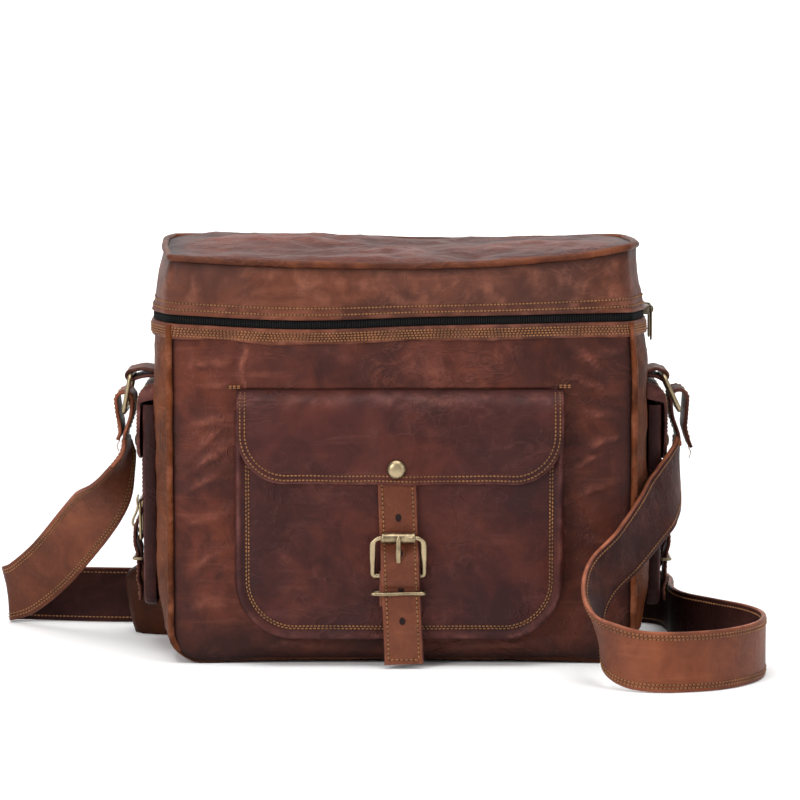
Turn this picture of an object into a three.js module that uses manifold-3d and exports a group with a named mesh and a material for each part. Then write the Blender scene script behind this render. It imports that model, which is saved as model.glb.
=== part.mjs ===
// A leather camera bag: padded body, zipped lid, buckled pockets and a shoulder strap.
// Millimetres, +Z up, the front faces -Y, the origin is the middle of the base on the floor.
import * as THREE from 'three';
import { mergeVertices } from 'three/addons/utils/BufferGeometryUtils.js';
import Module from 'manifold-3d';

const wasm = await Module();
wasm.setup();

// ---------------------------------------------------------------- driving dimensions
const GAP = 0.3;                  // air between pieces that touch
const PANEL = { half: 147.5, face: 77.5, thick: 4, low: 5, top: 222, corner: 15.5 };
const GUSSET = { inner: 148, edge: 150, outer: 161, halfDepth: 73.2, flat: 50 };
const BASE = { half: 150, corner: 18, thick: 4 };
const BOARD = { half: 135, depth: 71, low: 4.9, top: 7.7 };
const LINER = { thick: 8, low: 18.3, top: 216, half: 147.6, depth: 73, floorLow: 8 };
const DIVIDER = { at: 50, thick: 8, low: 18.7, top: 172, halfDepth: 64.4 };
const BINDING = { low: 213, top: 222, inner: 0.3, outer: 1.9, end: 57.5 };
const YOKE = { low: 179.2, top: 212.6, thick: 2 };
const ZIP = {
  lowerLow: 222.3, lowerTop: 224.9, upperLow: 225.2, upperTop: 227.4, inner: -1.4, outer: 0.6, end: 60,
};
const LID = { low: 228, bandTop: 260, top: 266, outer: 1, inner: -2, pad: 8, inset: -3.4 };
const LID_PIPING = { radius: 1.8, out: 0.2, up: 2.6, round: 8, seam: 0.2, steps: 90 };
const HINGE_STRIP = { half: 138, inner: 79.4, outer: 81.4, low: 212, top: 238 };
const PIPING = { radius: 2, clear: 2.6, face: 77.3, steps: 60 };
const BEYOND = 200;                // far enough for a cutting block to pass right through
const FLAP_RISE = 11;              // how far down a flap slopes out from its seam
const BAR_HOLE = 0.72;             // radius of the hole a buckle's bar turns in, over the bar's size
const STRAP_SLOT = 0.72;           // how far up a buckle the strap's slot for the prong reaches
const ROLLER = { half: 0.72, bore: 0.78 };  // length over the buckle's width, bore over the bar's size
const PRONG = { half: 0.45, thick: 0.6 };   // a prong's half width and thickness over the bar's size
const STRAP = { width: 38, thick: 3, steps: 150 };
const RING = { bar: 3.2, half: 20.5 };
const LEFT_RING = { topX: 178.5, topZ: 181.5, lowX: 183, lowZ: 157.5 };
const RIGHT_RING = { topX: 172, topZ: 181.5, lowX: 182.5, lowZ: 159 };
const LOOP = { half: 18, ply: 2.5, radius: 4.4, rise: 7.5, neck: 146.5, end: 142.8 };
const SLIDER = {
  inner: 162.3, thick: 3, half: 5, at: 12, low: 222.4, top: 227.6,
  crown: { half: 1.5, sunk: 0.5, out: 2.9, low: 221.6, top: 224.2 },
};
const PULL = { half: 4, thick: 1.6, low: 196, top: 226, eyeHalf: 1.9, eyeLow: 220.8, eyeTop: 224.7 };

// Each buckled pocket, seen from outside: x runs across it and `face` is how far out its wall lies.
const FRONT_POCKET = {
  name: 'front', turn: 0, face: 77.5, hinge: 80.1,
  left: -107, right: 103.5, low: 18, top: 165, corner: 38, depth: 13, wall: 2.2,
  flap: { left: -106, right: 103.5, top: 178.9, low: 119, corner: 32, thick: 2.5 },
  strap: { x: -3.5, half: 12.6, thick: 2.8, top: 141, tail: 3, lean: 0.0384 },
  rivet: { z: 129, radius: 6.1, high: 3.4, shaft: 2 },
  buckle: { x: -2.4, low: 60.2, high: 84.9, half: 14.4, side: 4, bar: 3.2, tip: 3.3, roller: 3.5 },
  chape: { half: 12, back: 1.4, front: 1.6, low: 40 },
  keeper: { z: 49.2, half: 15.6, wire: 2.4 },
};
const SIDE_POCKET = {
  face: 161, hinge: 161.3,
  left: -36, right: 36, low: 31, top: 164, corner: 12, depth: 8.5, wall: 2,
  flap: { left: -36, right: 36, top: 178.9, low: 127, corner: 18, thick: 2 },
  strap: { x: 0, half: 10, thick: 2, top: 146, tail: 31, lean: 0 },
  rivet: { z: 137, radius: 5, high: 2.8, shaft: 1.8 },
  buckle: { x: 0, low: 72.5, high: 97, half: 11.5, side: 3.2, bar: 2.4, tip: 2.2, roller: 0 },
  chape: { half: 9, back: 1.2, front: 1.2, low: 50 },
  keeper: { z: 59, half: 11.8, wire: 2 },
};

// The shoulder strap's middle line and the way its upper edge lies from it, from the left ring
// down to the floor, behind the body, round the right side and up to the right ring.
const STRAP_ROUTE = [
  [[-183, 0, 139.2], [0, -1, 0]],
  [[-183.1, 0.2, 133], [-0.05, -1, 0.02]],
  [[-186, 3, 123], [-0.22, -0.95, 0.15]],
  [[-192, 10, 110], [-0.4, -0.88, 0.25]],
  [[-203, 24, 91], [-0.6, -0.45, 0.6]],
  [[-220, 44, 68], [-0.6, -0.12, 0.78]],
  [[-240, 64, 44], [-0.5, 0, 0.86]],
  [[-260, 80, 26], [-0.32, 0, 0.94]],
  [[-271, 90, 20.3], [-0.12, 0, 0.99]],
  [[-264, 98, 19.6], [0, 0, 1]],
  [[-238, 95, 19.3], [0, 0, 1]],
  [[-195, 90, 19.2], [0, 0, 1]],
  [[-120, 88, 19.2], [0, 0, 1]],
  [[0, 88, 19.2], [0, 0, 1]],
  [[100, 89, 19.2], [0, 0, 1]],
  [[148, 91, 19.2], [0, 0, 1]],
  [[175, 80, 19.2], [0, 0, 1]],
  [[182, 50, 19.2], [0, 0, 1]],
  [[180, 12, 19.2], [0, 0, 1]],
  [[186, -20, 19.2], [0, 0, 1]],
  [[203, -46, 19.2], [0, 0, 1]],
  [[222, -72, 19.2], [0, 0, 1]],
  [[231, -104, 19.2], [0, 0, 1]],
  [[223, -140, 19.2], [0, 0, 1]],
  [[198, -170, 19.2], [0, 0, 1]],
  [[166, -181, 19.2], [0, 0, 1]],
  [[143, -177, 20.5], [-0.07, 0, 1]],
  [[128, -164, 26.5], [-0.2, -0.05, 0.98]],
  [[122, -149, 38], [-0.33, -0.35, 0.86]],
  [[121.5, -134, 51], [-0.38, -0.6, 0.7]],
  [[128, -118, 63], [-0.46, -0.65, 0.6]],
  [[145, -97, 78], [-0.54, -0.73, 0.4]],
  [[162.5, -71, 96], [-0.58, -0.74, 0.3]],
  [[171.5, -50, 106], [-0.5, -0.74, 0.38]],
  [[177.8, -31, 114.5], [-0.33, -0.76, 0.5]],
  [[181.5, -16, 121.5], [-0.15, -0.82, 0.5]],
  [[182.5, -5, 126.5], [-0.05, -0.93, 0.3]],
  [[182.5, -0.2, 132], [0, -1, 0.05]],
  [[182.5, 0, 138], [0, -1, 0]],
];

// ---------------------------------------------------------------- materials
const finish = (color, roughness, metalness = 0) => ({ color, roughness, metalness });
const LEATHER = finish(0x5b2a1f, 0.55);
const POCKET_LEATHER = finish(0x4a2420, 0.5);
const GUSSET_LEATHER = finish(0x7a3d22, 0.6);
const STRAP_LEATHER = finish(0x8a4b2a, 0.6);
const LINING = finish(0x2b2624, 0.9);
const STIFFENER = finish(0x3a3a3a, 0.8);
const ZIP_TAPE = finish(0x141312, 0.85);
const BRASS = finish(0x8d7748, 0.4, 1);

const bag = new THREE.Group();

function add(name, geometry, look, turn = 0) {
  const mesh = new THREE.Mesh(geometry, new THREE.MeshStandardMaterial(look));
  mesh.name = name;
  mesh.rotation.z = turn;
  bag.add(mesh);
}

// ---------------------------------------------------------------- shapes
function block(x0, x1, y0, y1, z0, z1) {
  const geometry = new THREE.BoxGeometry(x1 - x0, y1 - y0, z1 - z0);
  return geometry.translate((x0 + x1) / 2, (y0 + y1) / 2, (z0 + z1) / 2);
}

// A list of [a, b] points, or a ready shape, as a shape.
function asShape(outline) {
  if (outline instanceof THREE.Shape) return outline;
  return new THREE.Shape(outline.map(([a, b]) => new THREE.Vector2(a, b)));
}

// Extrude an outline along Z, along Y from an XZ outline, or along X from a YZ outline.
function prismZ(outline, z0, z1) {
  const settings = { depth: z1 - z0, bevelEnabled: false, curveSegments: 6 };
  const geometry = new THREE.ExtrudeGeometry(asShape(outline), settings);
  return geometry.translate(0, 0, z0);
}
function prismY(outline, y0, y1) {
  return prismZ(outline, 0, y1 - y0).rotateX(Math.PI / 2).translate(0, y1, 0);
}
function prismX(outline, x0, x1) {
  const turn = new THREE.Matrix4();
  turn.makeBasis(new THREE.Vector3(0, 1, 0), new THREE.Vector3(0, 0, 1), new THREE.Vector3(1, 0, 0));
  return prismZ(outline, x0, x1).applyMatrix4(turn);
}

// A round bar along X through (y, z).
function barX(x0, x1, y, z, radius, sides = 16) {
  const geometry = new THREE.CylinderGeometry(radius, radius, x1 - x0, sides);
  return geometry.rotateZ(Math.PI / 2).translate((x0 + x1) / 2, y, z);
}

// A disc or dome on an axis along Y, its profile given as [radius, depth] pairs.
function turnedY(profile, x, z, sides = 16) {
  const points = profile.map(([r, y]) => new THREE.Vector2(r, y));
  return new THREE.LatheGeometry(points, sides).translate(x, 0, z);
}

// A box outline whose two lower corners are round.
function tongue(left, right, low, top, corner) {
  const shape = new THREE.Shape();
  shape.moveTo(left, top);
  shape.lineTo(left, low + corner);
  shape.absarc(left + corner, low + corner, corner, Math.PI, 1.5 * Math.PI, false);
  shape.absarc(right - corner, low + corner, corner, 1.5 * Math.PI, 2 * Math.PI, false);
  shape.lineTo(right, top);
  return shape;
}

// The body's plan outline, moved out by `off`: flat front and back, sides that bulge.
function plan(off) {
  const front = PANEL.face + off;
  const edge = GUSSET.inner + off;
  const side = GUSSET.outer + off;
  const bend = GUSSET.flat;
  return [[-edge, -front], [edge, -front], [side, -bend], [side, bend],
    [edge, front], [-edge, front], [-side, bend], [-side, -bend]];
}

// ---------------------------------------------------------------- booleans
function solid(geometry) {
  const bare = geometry.clone();
  bare.deleteAttribute('normal');
  bare.deleteAttribute('uv');
  const merged = mergeVertices(bare, 1e-4);
  return new wasm.Manifold(new wasm.Mesh({
    numProp: 3,
    vertProperties: new Float32Array(merged.attributes.position.array),
    triVerts: new Uint32Array(merged.index.array),
  }));
}
function geometryOf(body) {
  const mesh = body.getMesh();
  const geometry = new THREE.BufferGeometry();
  geometry.setAttribute('position', new THREE.BufferAttribute(new Float32Array(mesh.vertProperties), 3));
  geometry.setIndex(new THREE.BufferAttribute(new Uint32Array(mesh.triVerts), 1));
  return geometry;
}
function cut(geometry, ...tools) {
  return geometryOf(tools.reduce((body, tool) => body.subtract(solid(tool)), solid(geometry)));
}
function join(...pieces) {
  return geometryOf(pieces.slice(1).reduce((body, piece) => body.add(solid(piece)), solid(pieces[0])));
}
const common = (a, b) => geometryOf(solid(a).intersect(solid(b)));

// ---------------------------------------------------------------- body shell
function addShell() {
  const outline = tongue(-PANEL.half, PANEL.half, PANEL.low, PANEL.top, PANEL.corner);
  add('front_panel', prismY(outline, -PANEL.face, -PANEL.face + PANEL.thick), LEATHER);
  add('back_panel', prismY(outline, PANEL.face - PANEL.thick, PANEL.face), LEATHER);
  const yokeBack = -PANEL.face - GAP;
  const yoke = block(-PANEL.half, PANEL.half, yokeBack - YOKE.thick, yokeBack, YOKE.low, YOKE.top);
  add('front_yoke', yoke, LEATHER);

  const { inner, edge, outer, halfDepth, flat } = GUSSET;
  const section = [[inner, -halfDepth], [edge, -halfDepth], [outer, -flat],
    [outer, flat], [edge, halfDepth], [inner, halfDepth]];
  for (const [side, turn] of [['right', 0], ['left', Math.PI]]) {
    add(`${side}_gusset`, prismZ(section, BASE.corner + GAP, PANEL.top), GUSSET_LEATHER, turn);
  }

  const tray = tongue(-BASE.half, BASE.half, 0, BASE.corner, BASE.corner);
  const hollow = tongue(-BASE.half + BASE.thick, BASE.half - BASE.thick, BASE.thick,
    BASE.corner + 1, BASE.corner - BASE.thick);
  const base = cut(prismY(tray, -halfDepth, halfDepth), prismY(hollow, -halfDepth - 1, halfDepth + 1));
  add('bottom_panel', base, GUSSET_LEATHER);

  const rim = cut(prismZ(plan(BINDING.outer), BINDING.low, BINDING.top),
    prismZ(plan(BINDING.inner), BINDING.low - 1, BINDING.top + 1),
    block(-BEYOND, BEYOND, BINDING.end, BEYOND, BINDING.low - 1, BINDING.top + 1));
  add('mouth_binding', rim, LEATHER);
}

// Piping: a tube round the U-shaped edge of the front and the back panel.
function addPiping() {
  const { clear, face, radius } = PIPING;
  const [x, z] = [PANEL.half + clear, PANEL.low - clear];
  const round = PANEL.corner + clear;
  const top = BINDING.low - GAP;
  for (const [name, y] of [['front_piping', -face], ['back_piping', face]]) {
    const at = (across, up) => new THREE.Vector3(across, y, up);
    const path = new THREE.CurvePath();
    path.add(new THREE.LineCurve3(at(-x, top), at(-x, z + round)));
    path.add(new THREE.QuadraticBezierCurve3(at(-x, z + round), at(-x, z), at(-x + round, z)));
    path.add(new THREE.LineCurve3(at(-x + round, z), at(x - round, z)));
    path.add(new THREE.QuadraticBezierCurve3(at(x - round, z), at(x, z), at(x, z + round)));
    path.add(new THREE.LineCurve3(at(x, z + round), at(x, top)));
    add(name, tube(path, radius, PIPING.steps), LEATHER);
  }
}

function tube(path, radius, steps, sides = 8) {
  const section = new THREE.Shape();
  for (let i = 0; i < sides; i += 1) {
    const angle = (2 * Math.PI * i) / sides;
    const point = [radius * Math.cos(angle), radius * Math.sin(angle)];
    if (i === 0) section.moveTo(...point);
    else section.lineTo(...point);
  }
  return new THREE.ExtrudeGeometry(section, { extrudePath: path, steps, bevelEnabled: false });
}

// ---------------------------------------------------------------- inside
function addInside() {
  const floorBoard = (z0, z1) => block(-BOARD.half, BOARD.half, -BOARD.depth, BOARD.depth, z0, z1);
  const { thick, low, top, half, depth, floorLow } = LINER;
  const inner = depth - thick;
  add('base_board', floorBoard(BOARD.low, BOARD.top), STIFFENER);
  add('liner_floor', floorBoard(floorLow, low - GAP), LINING);
  add('liner_front', block(-half, half, -depth, -inner, low, top), LINING);
  add('liner_back', block(-half, half, inner, depth, low, top), LINING);
  add('liner_left', block(-half, -half + thick, -inner + GAP, inner - GAP, low, top), LINING);
  add('liner_right', block(half - thick, half, -inner + GAP, inner - GAP, low, top), LINING);
  for (const [name, x] of [['left_divider', -DIVIDER.at], ['right_divider', DIVIDER.at]]) {
    const wide = DIVIDER.thick / 2;
    const deep = DIVIDER.halfDepth;
    add(name, block(x - wide, x + wide, -deep, deep, DIVIDER.low, DIVIDER.top), LINING);
  }
}

// ---------------------------------------------------------------- lid and zip
function addLid() {
  const band = cut(prismZ(plan(LID.outer), LID.low, LID.bandTop),
    prismZ(plan(LID.inner), LID.low - 1, LID.bandTop + 1));
  add('lid_band', band, STRAP_LEATHER);
  add('lid_top', prismZ(plan(LID.inset), LID.bandTop + GAP, LID.top), LEATHER);
  add('lid_pad', prismZ(plan(LID.inset), LID.bandTop - LID.pad, LID.bandTop), LINING);

  // The piping runs round from the middle of the back, where its two ends meet.
  const rim = plan(LID_PIPING.out).map(([x, y]) => new THREE.Vector3(x, y, LID.bandTop + LID_PIPING.up));
  const [back, start] = [rim[4], rim[5]];
  const seam = new THREE.Vector3(0, back.y, back.z);
  const path = new THREE.CurvePath();
  const { round } = LID_PIPING;
  const corners = [start, rim[6], rim[7], rim[0], rim[1], rim[2], rim[3], back];
  let from = seam.clone().setX(-LID_PIPING.seam);
  corners.forEach((corner, i) => {
    const next = corners[i + 1] ?? seam.clone().setX(LID_PIPING.seam);
    const before = corner.clone().add(from.clone().sub(corner).setLength(round));
    const after = corner.clone().add(next.clone().sub(corner).setLength(round));
    path.add(new THREE.LineCurve3(from, before));
    path.add(new THREE.QuadraticBezierCurve3(before, corner, after));
    from = after;
  });
  path.add(new THREE.LineCurve3(from, seam.clone().setX(LID_PIPING.seam)));
  add('lid_piping', tube(path, LID_PIPING.radius, LID_PIPING.steps), LEATHER);
  const { half, inner, outer, low, top } = HINGE_STRIP;
  add('lid_hinge_strip', block(-half, half, inner, outer, low, top), LEATHER);
}

// Each half of the zip is a tape with its teeth, round the front and both sides.
function addZip() {
  const halves = [
    ['lower_zip_half', ZIP.lowerLow, ZIP.lowerTop],
    ['upper_zip_half', ZIP.upperLow, ZIP.upperTop],
  ];
  for (const [name, low, top] of halves) {
    const ring = cut(prismZ(plan(ZIP.outer), low, top), prismZ(plan(ZIP.inner), low - 1, top + 1),
      block(-BEYOND, BEYOND, ZIP.end, BEYOND, low - 1, top + 1));
    add(name, ring, ZIP_TAPE);
  }
  const { inner, thick, half, at, crown } = SLIDER;
  const face = inner + thick;
  for (const [name, y] of [['front_zip', -at], ['rear_zip', at]]) {
    const plate = block(inner, face, y - half, y + half, SLIDER.low, SLIDER.top);
    const bail = block(face - crown.sunk, face + crown.out,
      y - crown.half, y + crown.half, crown.low, crown.top);
    add(`${name}_slider`, join(plate, bail), BRASS);
    const back = face + GAP;
    const tag = block(back, back + PULL.thick, y - PULL.half, y + PULL.half, PULL.low, PULL.top);
    const eye = block(face, face + 3, y - PULL.eyeHalf, y + PULL.eyeHalf, PULL.eyeLow, PULL.eyeTop);
    add(`${name}_pull`, cut(tag, eye), BRASS);
  }
}

// ---------------------------------------------------------------- buckled pockets
// Every piece is made facing -Y, then turned about Z to its side of the bag.
function addPocket(spec) {
  const { name, turn, face, strap, flap, rivet, buckle, chape, keeper } = spec;
  const wallFace = face + spec.depth;                      // outside of the pocket's front wall
  const strapIn = wallFace + GAP;                          // strap under the flap
  const flapIn = strapIn + strap.thick + GAP;
  const flapOut = flapIn + flap.thick;

  const outline = tongue(spec.left, spec.right, spec.low, spec.top, spec.corner);
  const shell = prismY(outline, -wallFace, -face - GAP);
  const w = spec.wall;
  const room = prismY(tongue(spec.left + w, spec.right - w, spec.low + w, spec.top + 5, spec.corner - w),
    -wallFace + w, -face + 5);
  add(`${name}_pocket`, cut(shell, room), POCKET_LEATHER, turn);

  const slope = [[-spec.hinge, flap.top], [-flapOut, flap.top - FLAP_RISE], [-flapOut, flap.low],
    [-flapIn, flap.low], [-flapIn, flap.top - FLAP_RISE - 1.2], [-spec.hinge, flap.top - 3.2]];
  const sheet = prismX(slope, flap.left, flap.right);
  const edge = tongue(flap.left, flap.right, flap.low, flap.top + 1, flap.corner);
  const cover = prismY(edge, -flapOut - 5, -face);
  const rivetHole = prismY(circle(strap.x, rivet.z, rivet.shaft + GAP), -flapOut - 5, -wallFace + 0.1);
  add(`${name}_flap`, cut(common(sheet, cover), rivetHole), POCKET_LEATHER, turn);

  const head = -flapOut - GAP;                             // underside of the rivet's head
  const dome = turnedY([[0, head - rivet.high], [rivet.radius * 0.6, head - rivet.high * 0.75],
    [rivet.radius, head - 0.8], [rivet.radius, head], [rivet.shaft, head], [rivet.shaft, -strapIn - 0.1],
    [0, -strapIn - 0.1]], strap.x, rivet.z);
  add(`${name}_rivet`, dome, BRASS, turn);

  const hole = buckle.bar * BAR_HOLE;
  const barOut = strapIn + chape.back + hole;              // how far out the buckle's lower bar lies
  const chapeOut = barOut + hole + chape.front;
  const half = strap.thick / 2;
  const under = strapIn + half;
  const over = chapeOut + GAP + half;
  const tongueOut = strapIn + keeper.wire + 1.8;           // outside of the chape's sewn tongue
  const tail = tongueOut + GAP + half;
  const line = [[under, strap.top], [under, buckle.high - 0.5], [over, buckle.low + 4.3],
    [over, buckle.low - 3.7], [tail, keeper.z + 1.5], [tail, strap.tail]];
  const outside = line.map(([d, z]) => [-d - half, z]);
  const inside = line.map(([d, z]) => [-d + half, z]);
  const section = [...outside, ...inside.reverse()];
  const lean = new THREE.Matrix4().makeShear(0, 0, 0, 0, -strap.lean, 0);
  const band = prismX(section, -strap.half, strap.half).applyMatrix4(lean)
    .translate(strap.x + strap.lean * rivet.z, 0, 0);
  const prongHalf = buckle.bar * PRONG.half;
  const slot = block(buckle.x - prongHalf - 0.8, buckle.x + prongHalf + 0.8, -over - 5, -under + 4,
    buckle.low - 0.5, buckle.low + STRAP_SLOT * (buckle.high - buckle.low));
  add(`${name}_strap`, cut(band, rivetHole, slot), STRAP_LEATHER, turn);

  // The chape folds round the buckle's lower bar; its sewn tongue holds the keeper.
  const wrap = [[-strapIn, chape.low], [-tongueOut, chape.low], [-tongueOut, buckle.low - hole - 1.5],
    [-chapeOut, buckle.low - 1.5], [-chapeOut, buckle.low + 1],
    [-barOut, buckle.low + hole + chape.front],
    [-strapIn, buckle.low + hole + chape.front]];
  const reach = keeper.wire * 0.95;
  const fold = prismX(wrap, buckle.x - chape.half, buckle.x + chape.half);
  const barHole = barX(buckle.x - 30, buckle.x + 30, -barOut, buckle.low, hole);
  const keeperSlot = block(buckle.x - 30, buckle.x + 30, -strapIn - keeper.wire - 0.6, -strapIn + 1,
    keeper.z - reach, keeper.z + reach);
  const slotHalf = prongHalf + 0.5;
  const prongSlot = block(buckle.x - slotHalf, buckle.x + slotHalf, -chapeOut - 1, -strapIn + 1,
    buckle.low - hole - 1.6, buckle.low + 20);
  add(`${name}_chape`, cut(fold, barHole, keeperSlot, prongSlot), STRAP_LEATHER, turn);

  // The frame is flat and leans so that its top bar clears the strap. It turns on its lower bar.
  const barHalf = buckle.bar / 2;
  const topOut = strapIn + strap.thick + GAP + (buckle.roller || barHalf);
  const span = Math.hypot(topOut - barOut, buckle.high - buckle.low);
  const tilt = Math.atan2(topOut - barOut, buckle.high - buckle.low);
  const wide = buckle.half + buckle.side;
  const notch = buckle.half * ROLLER.half;
  const tip = span + buckle.tip;
  const bevel = 2;
  const rim = [[-wide, -barHalf], [wide, -barHalf], [wide, tip - bevel], [wide - bevel, tip]];
  if (buckle.roller) {
    rim.push([notch, tip], [notch, span + barHalf], [-notch, span + barHalf], [-notch, tip]);
  }
  rim.push([-wide + bevel, tip], [-wide, tip - bevel]);
  const window = [[-buckle.half, barHalf], [buckle.half, barHalf], [buckle.half, span - barHalf],
    [-buckle.half, span - barHalf]];
  const frame = cut(prismY(rim, -barHalf, barHalf), prismY(window, -barHalf - 1, barHalf + 1));
  add(`${name}_buckle_frame`, frame.rotateX(tilt).translate(buckle.x, -barOut, buckle.low), BRASS, turn);

  if (buckle.roller) {
    const sleeve = cut(barX(-notch + 0.5, notch - 0.5, 0, 0, buckle.roller),
      barX(-notch - 1, notch + 1, 0, 0, buckle.bar * ROLLER.bore));
    add(`${name}_buckle_roller`, sleeve.translate(buckle.x, -topOut, buckle.high), BRASS, turn);
  }

  // The prong hangs on the lower bar by an eye and its tip lies on the top bar.
  const rest = topOut + (buckle.roller || barHalf) + GAP + 0.1;
  const eyeOuter = hole + 1.1;
  const thick = buckle.bar * PRONG.thick;
  const bend = buckle.high - 5;
  const shank = [[-barOut, buckle.low + hole + 0.2], [-barOut - eyeOuter + 0.2, buckle.low + 0.4],
    [-rest - thick + 0.6, bend], [-rest - thick, buckle.high + 1],
    [-rest - thick * 0.6, buckle.high + 3],
    [-rest, buckle.high + 2.4], [-rest + 0.6, bend]];
  const eye = barX(-prongHalf, prongHalf, -barOut, buckle.low, eyeOuter);
  const prong = cut(join(prismX(shank, -prongHalf, prongHalf), eye),
    barX(-5, 5, -barOut, buckle.low, hole));
  add(`${name}_buckle_prong`, prong.translate(buckle.x, 0, 0), BRASS, turn);

  const keeperIn = strapIn + 0.3;                          // the keeper's rear leg lies under the chape
  const keeperOut = tail + half + 0.4 + keeper.wire;
  const loopHalf = keeper.half + keeper.wire;
  const wireHalf = keeper.wire / 2;
  const loop = cut(
    block(-loopHalf, loopHalf, -keeperOut, -keeperIn, keeper.z - wireHalf, keeper.z + wireHalf),
    block(-keeper.half, keeper.half, -keeperOut + keeper.wire, -keeperIn - keeper.wire,
      keeper.z - 5, keeper.z + 5));
  add(`${name}_keeper`, loop.translate(buckle.x, 0, 0), BRASS, turn);
}

function circle(x, z, radius) {
  const shape = new THREE.Shape();
  shape.absarc(x, z, radius, 0, 2 * Math.PI, false);
  return shape;
}

// ---------------------------------------------------------------- rings and shoulder strap
function addRing(side, turn, { topX, topZ, lowX, lowZ }) {
  const { bar, half } = RING;
  const eye = bar * 0.77;
  const wrap = join(block(-LOOP.half, LOOP.half, -topX, -GUSSET.outer - GAP, topZ - 1, topZ + 4),
    barX(-LOOP.half, LOOP.half, -topX, topZ, eye + 2));
  add(`${side}_ring_tab`, cut(wrap, barX(-30, 30, -topX, topZ, eye)), LEATHER, turn);

  const span = Math.hypot(lowX - topX, topZ - lowZ);
  const tilt = Math.atan2(lowX - topX, topZ - lowZ);
  const wide = half + bar;
  const top = bar / 2;
  const low = -span - bar / 2;
  const bevel = 1;
  const rim = [[-wide, top - bevel], [-wide + bevel, top], [wide - bevel, top], [wide, top - bevel],
    [wide, low + bevel], [wide - bevel, low], [-wide + bevel, low], [-wide, low + bevel]];
  const window = [[-half, -top], [half, -top], [half, low + bar], [-half, low + bar]];
  const ring = cut(prismY(rim, -bar / 2, bar / 2), prismY(window, -bar, bar));
  add(`${side}_ring`, ring.rotateX(-tilt).translate(0, -topX, topZ), BRASS, turn);

  const crown = lowZ + LOOP.rise;
  const outer = teardrop(lowX, crown, LOOP.radius + LOOP.ply, LOOP.ply + 0.2, LOOP.end);
  const hole = teardrop(lowX, crown, LOOP.radius, 0.4, LOOP.neck);
  const loop = cut(prismX(outer, -LOOP.half, LOOP.half), prismX(hole, -LOOP.half - 1, LOOP.half + 1));
  add(`${side}_strap_loop`, loop, STRAP_LEATHER, turn);
}

// A teardrop in the YZ plane: a half circle on top, drawn in to a narrow neck.
function teardrop(out, crown, radius, neck, low) {
  const shape = new THREE.Shape();
  shape.moveTo(-out - neck, low);
  shape.lineTo(-out + neck, low);
  shape.lineTo(-out + radius, crown);
  shape.absarc(-out, crown, radius, 0, Math.PI, false);
  return shape;
}

// A path whose cross-section keeps to given width directions instead of turning freely.
class StrapPath extends THREE.CatmullRomCurve3 {
  constructor(route) {
    super(route.map(([point]) => new THREE.Vector3(...point)), false, 'centripetal');
    this.widths = route.map(([, width]) => new THREE.Vector3(...width).normalize());
  }

  computeFrenetFrames(segments) {
    const frames = { tangents: [], normals: [], binormals: [] };
    for (let i = 0; i <= segments; i += 1) {
      const along = i / segments;
      const tangent = this.getTangentAt(along);
      const place = this.getUtoTmapping(along) * (this.widths.length - 1);
      const from = Math.min(Math.floor(place), this.widths.length - 2);
      const across = this.widths[from].clone().lerp(this.widths[from + 1], place - from);
      across.addScaledVector(tangent, -across.dot(tangent)).normalize();
      frames.tangents.push(tangent);
      frames.normals.push(across);
      frames.binormals.push(tangent.clone().cross(across));
    }
    return frames;
  }
}

function addShoulderStrap() {
  const [wide, deep] = [STRAP.width / 2, STRAP.thick / 2];
  const section = asShape([[-wide, -deep], [wide, -deep], [wide, deep], [-wide, deep]]);
  const path = new StrapPath(STRAP_ROUTE);
  path.arcLengthDivisions = 1200;
  const settings = { extrudePath: path, steps: STRAP.steps, bevelEnabled: false };
  add('shoulder_strap', new THREE.ExtrudeGeometry(section, settings), STRAP_LEATHER);
}

// ---------------------------------------------------------------- assembly
addShell();
addPiping();
addInside();
addLid();
addZip();
addPocket(FRONT_POCKET);
for (const [name, turn, ring] of [['left', -Math.PI / 2, LEFT_RING], ['right', Math.PI / 2, RIGHT_RING]]) {
  addPocket({ ...SIDE_POCKET, name, turn });
  addRing(name, turn, ring);
}
addShoulderStrap();

export default bag;
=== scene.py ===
"""Looks of the camera bag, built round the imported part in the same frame.

Lengths in this file are in millimetres until Mesh.done() turns them into metres.
"""
import math
import random

import bpy
import numpy as np
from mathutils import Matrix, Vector, noise


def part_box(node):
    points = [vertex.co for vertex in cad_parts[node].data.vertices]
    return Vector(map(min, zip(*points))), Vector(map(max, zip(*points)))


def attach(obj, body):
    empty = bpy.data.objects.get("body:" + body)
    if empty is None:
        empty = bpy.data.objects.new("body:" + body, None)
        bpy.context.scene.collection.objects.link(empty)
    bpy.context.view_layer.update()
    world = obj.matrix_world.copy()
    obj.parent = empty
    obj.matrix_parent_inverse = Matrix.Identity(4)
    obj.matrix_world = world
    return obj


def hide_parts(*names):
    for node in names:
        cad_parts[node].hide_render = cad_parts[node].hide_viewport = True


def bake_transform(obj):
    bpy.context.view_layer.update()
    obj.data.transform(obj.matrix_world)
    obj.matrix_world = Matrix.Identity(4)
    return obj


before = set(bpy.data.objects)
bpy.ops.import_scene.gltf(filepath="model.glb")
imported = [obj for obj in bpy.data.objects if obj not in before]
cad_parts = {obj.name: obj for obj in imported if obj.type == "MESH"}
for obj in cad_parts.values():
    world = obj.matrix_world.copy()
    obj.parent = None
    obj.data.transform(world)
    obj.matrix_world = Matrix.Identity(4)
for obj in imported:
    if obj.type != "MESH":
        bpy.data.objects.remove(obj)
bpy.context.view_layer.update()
MM = 0.001
random.seed(11)


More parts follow.
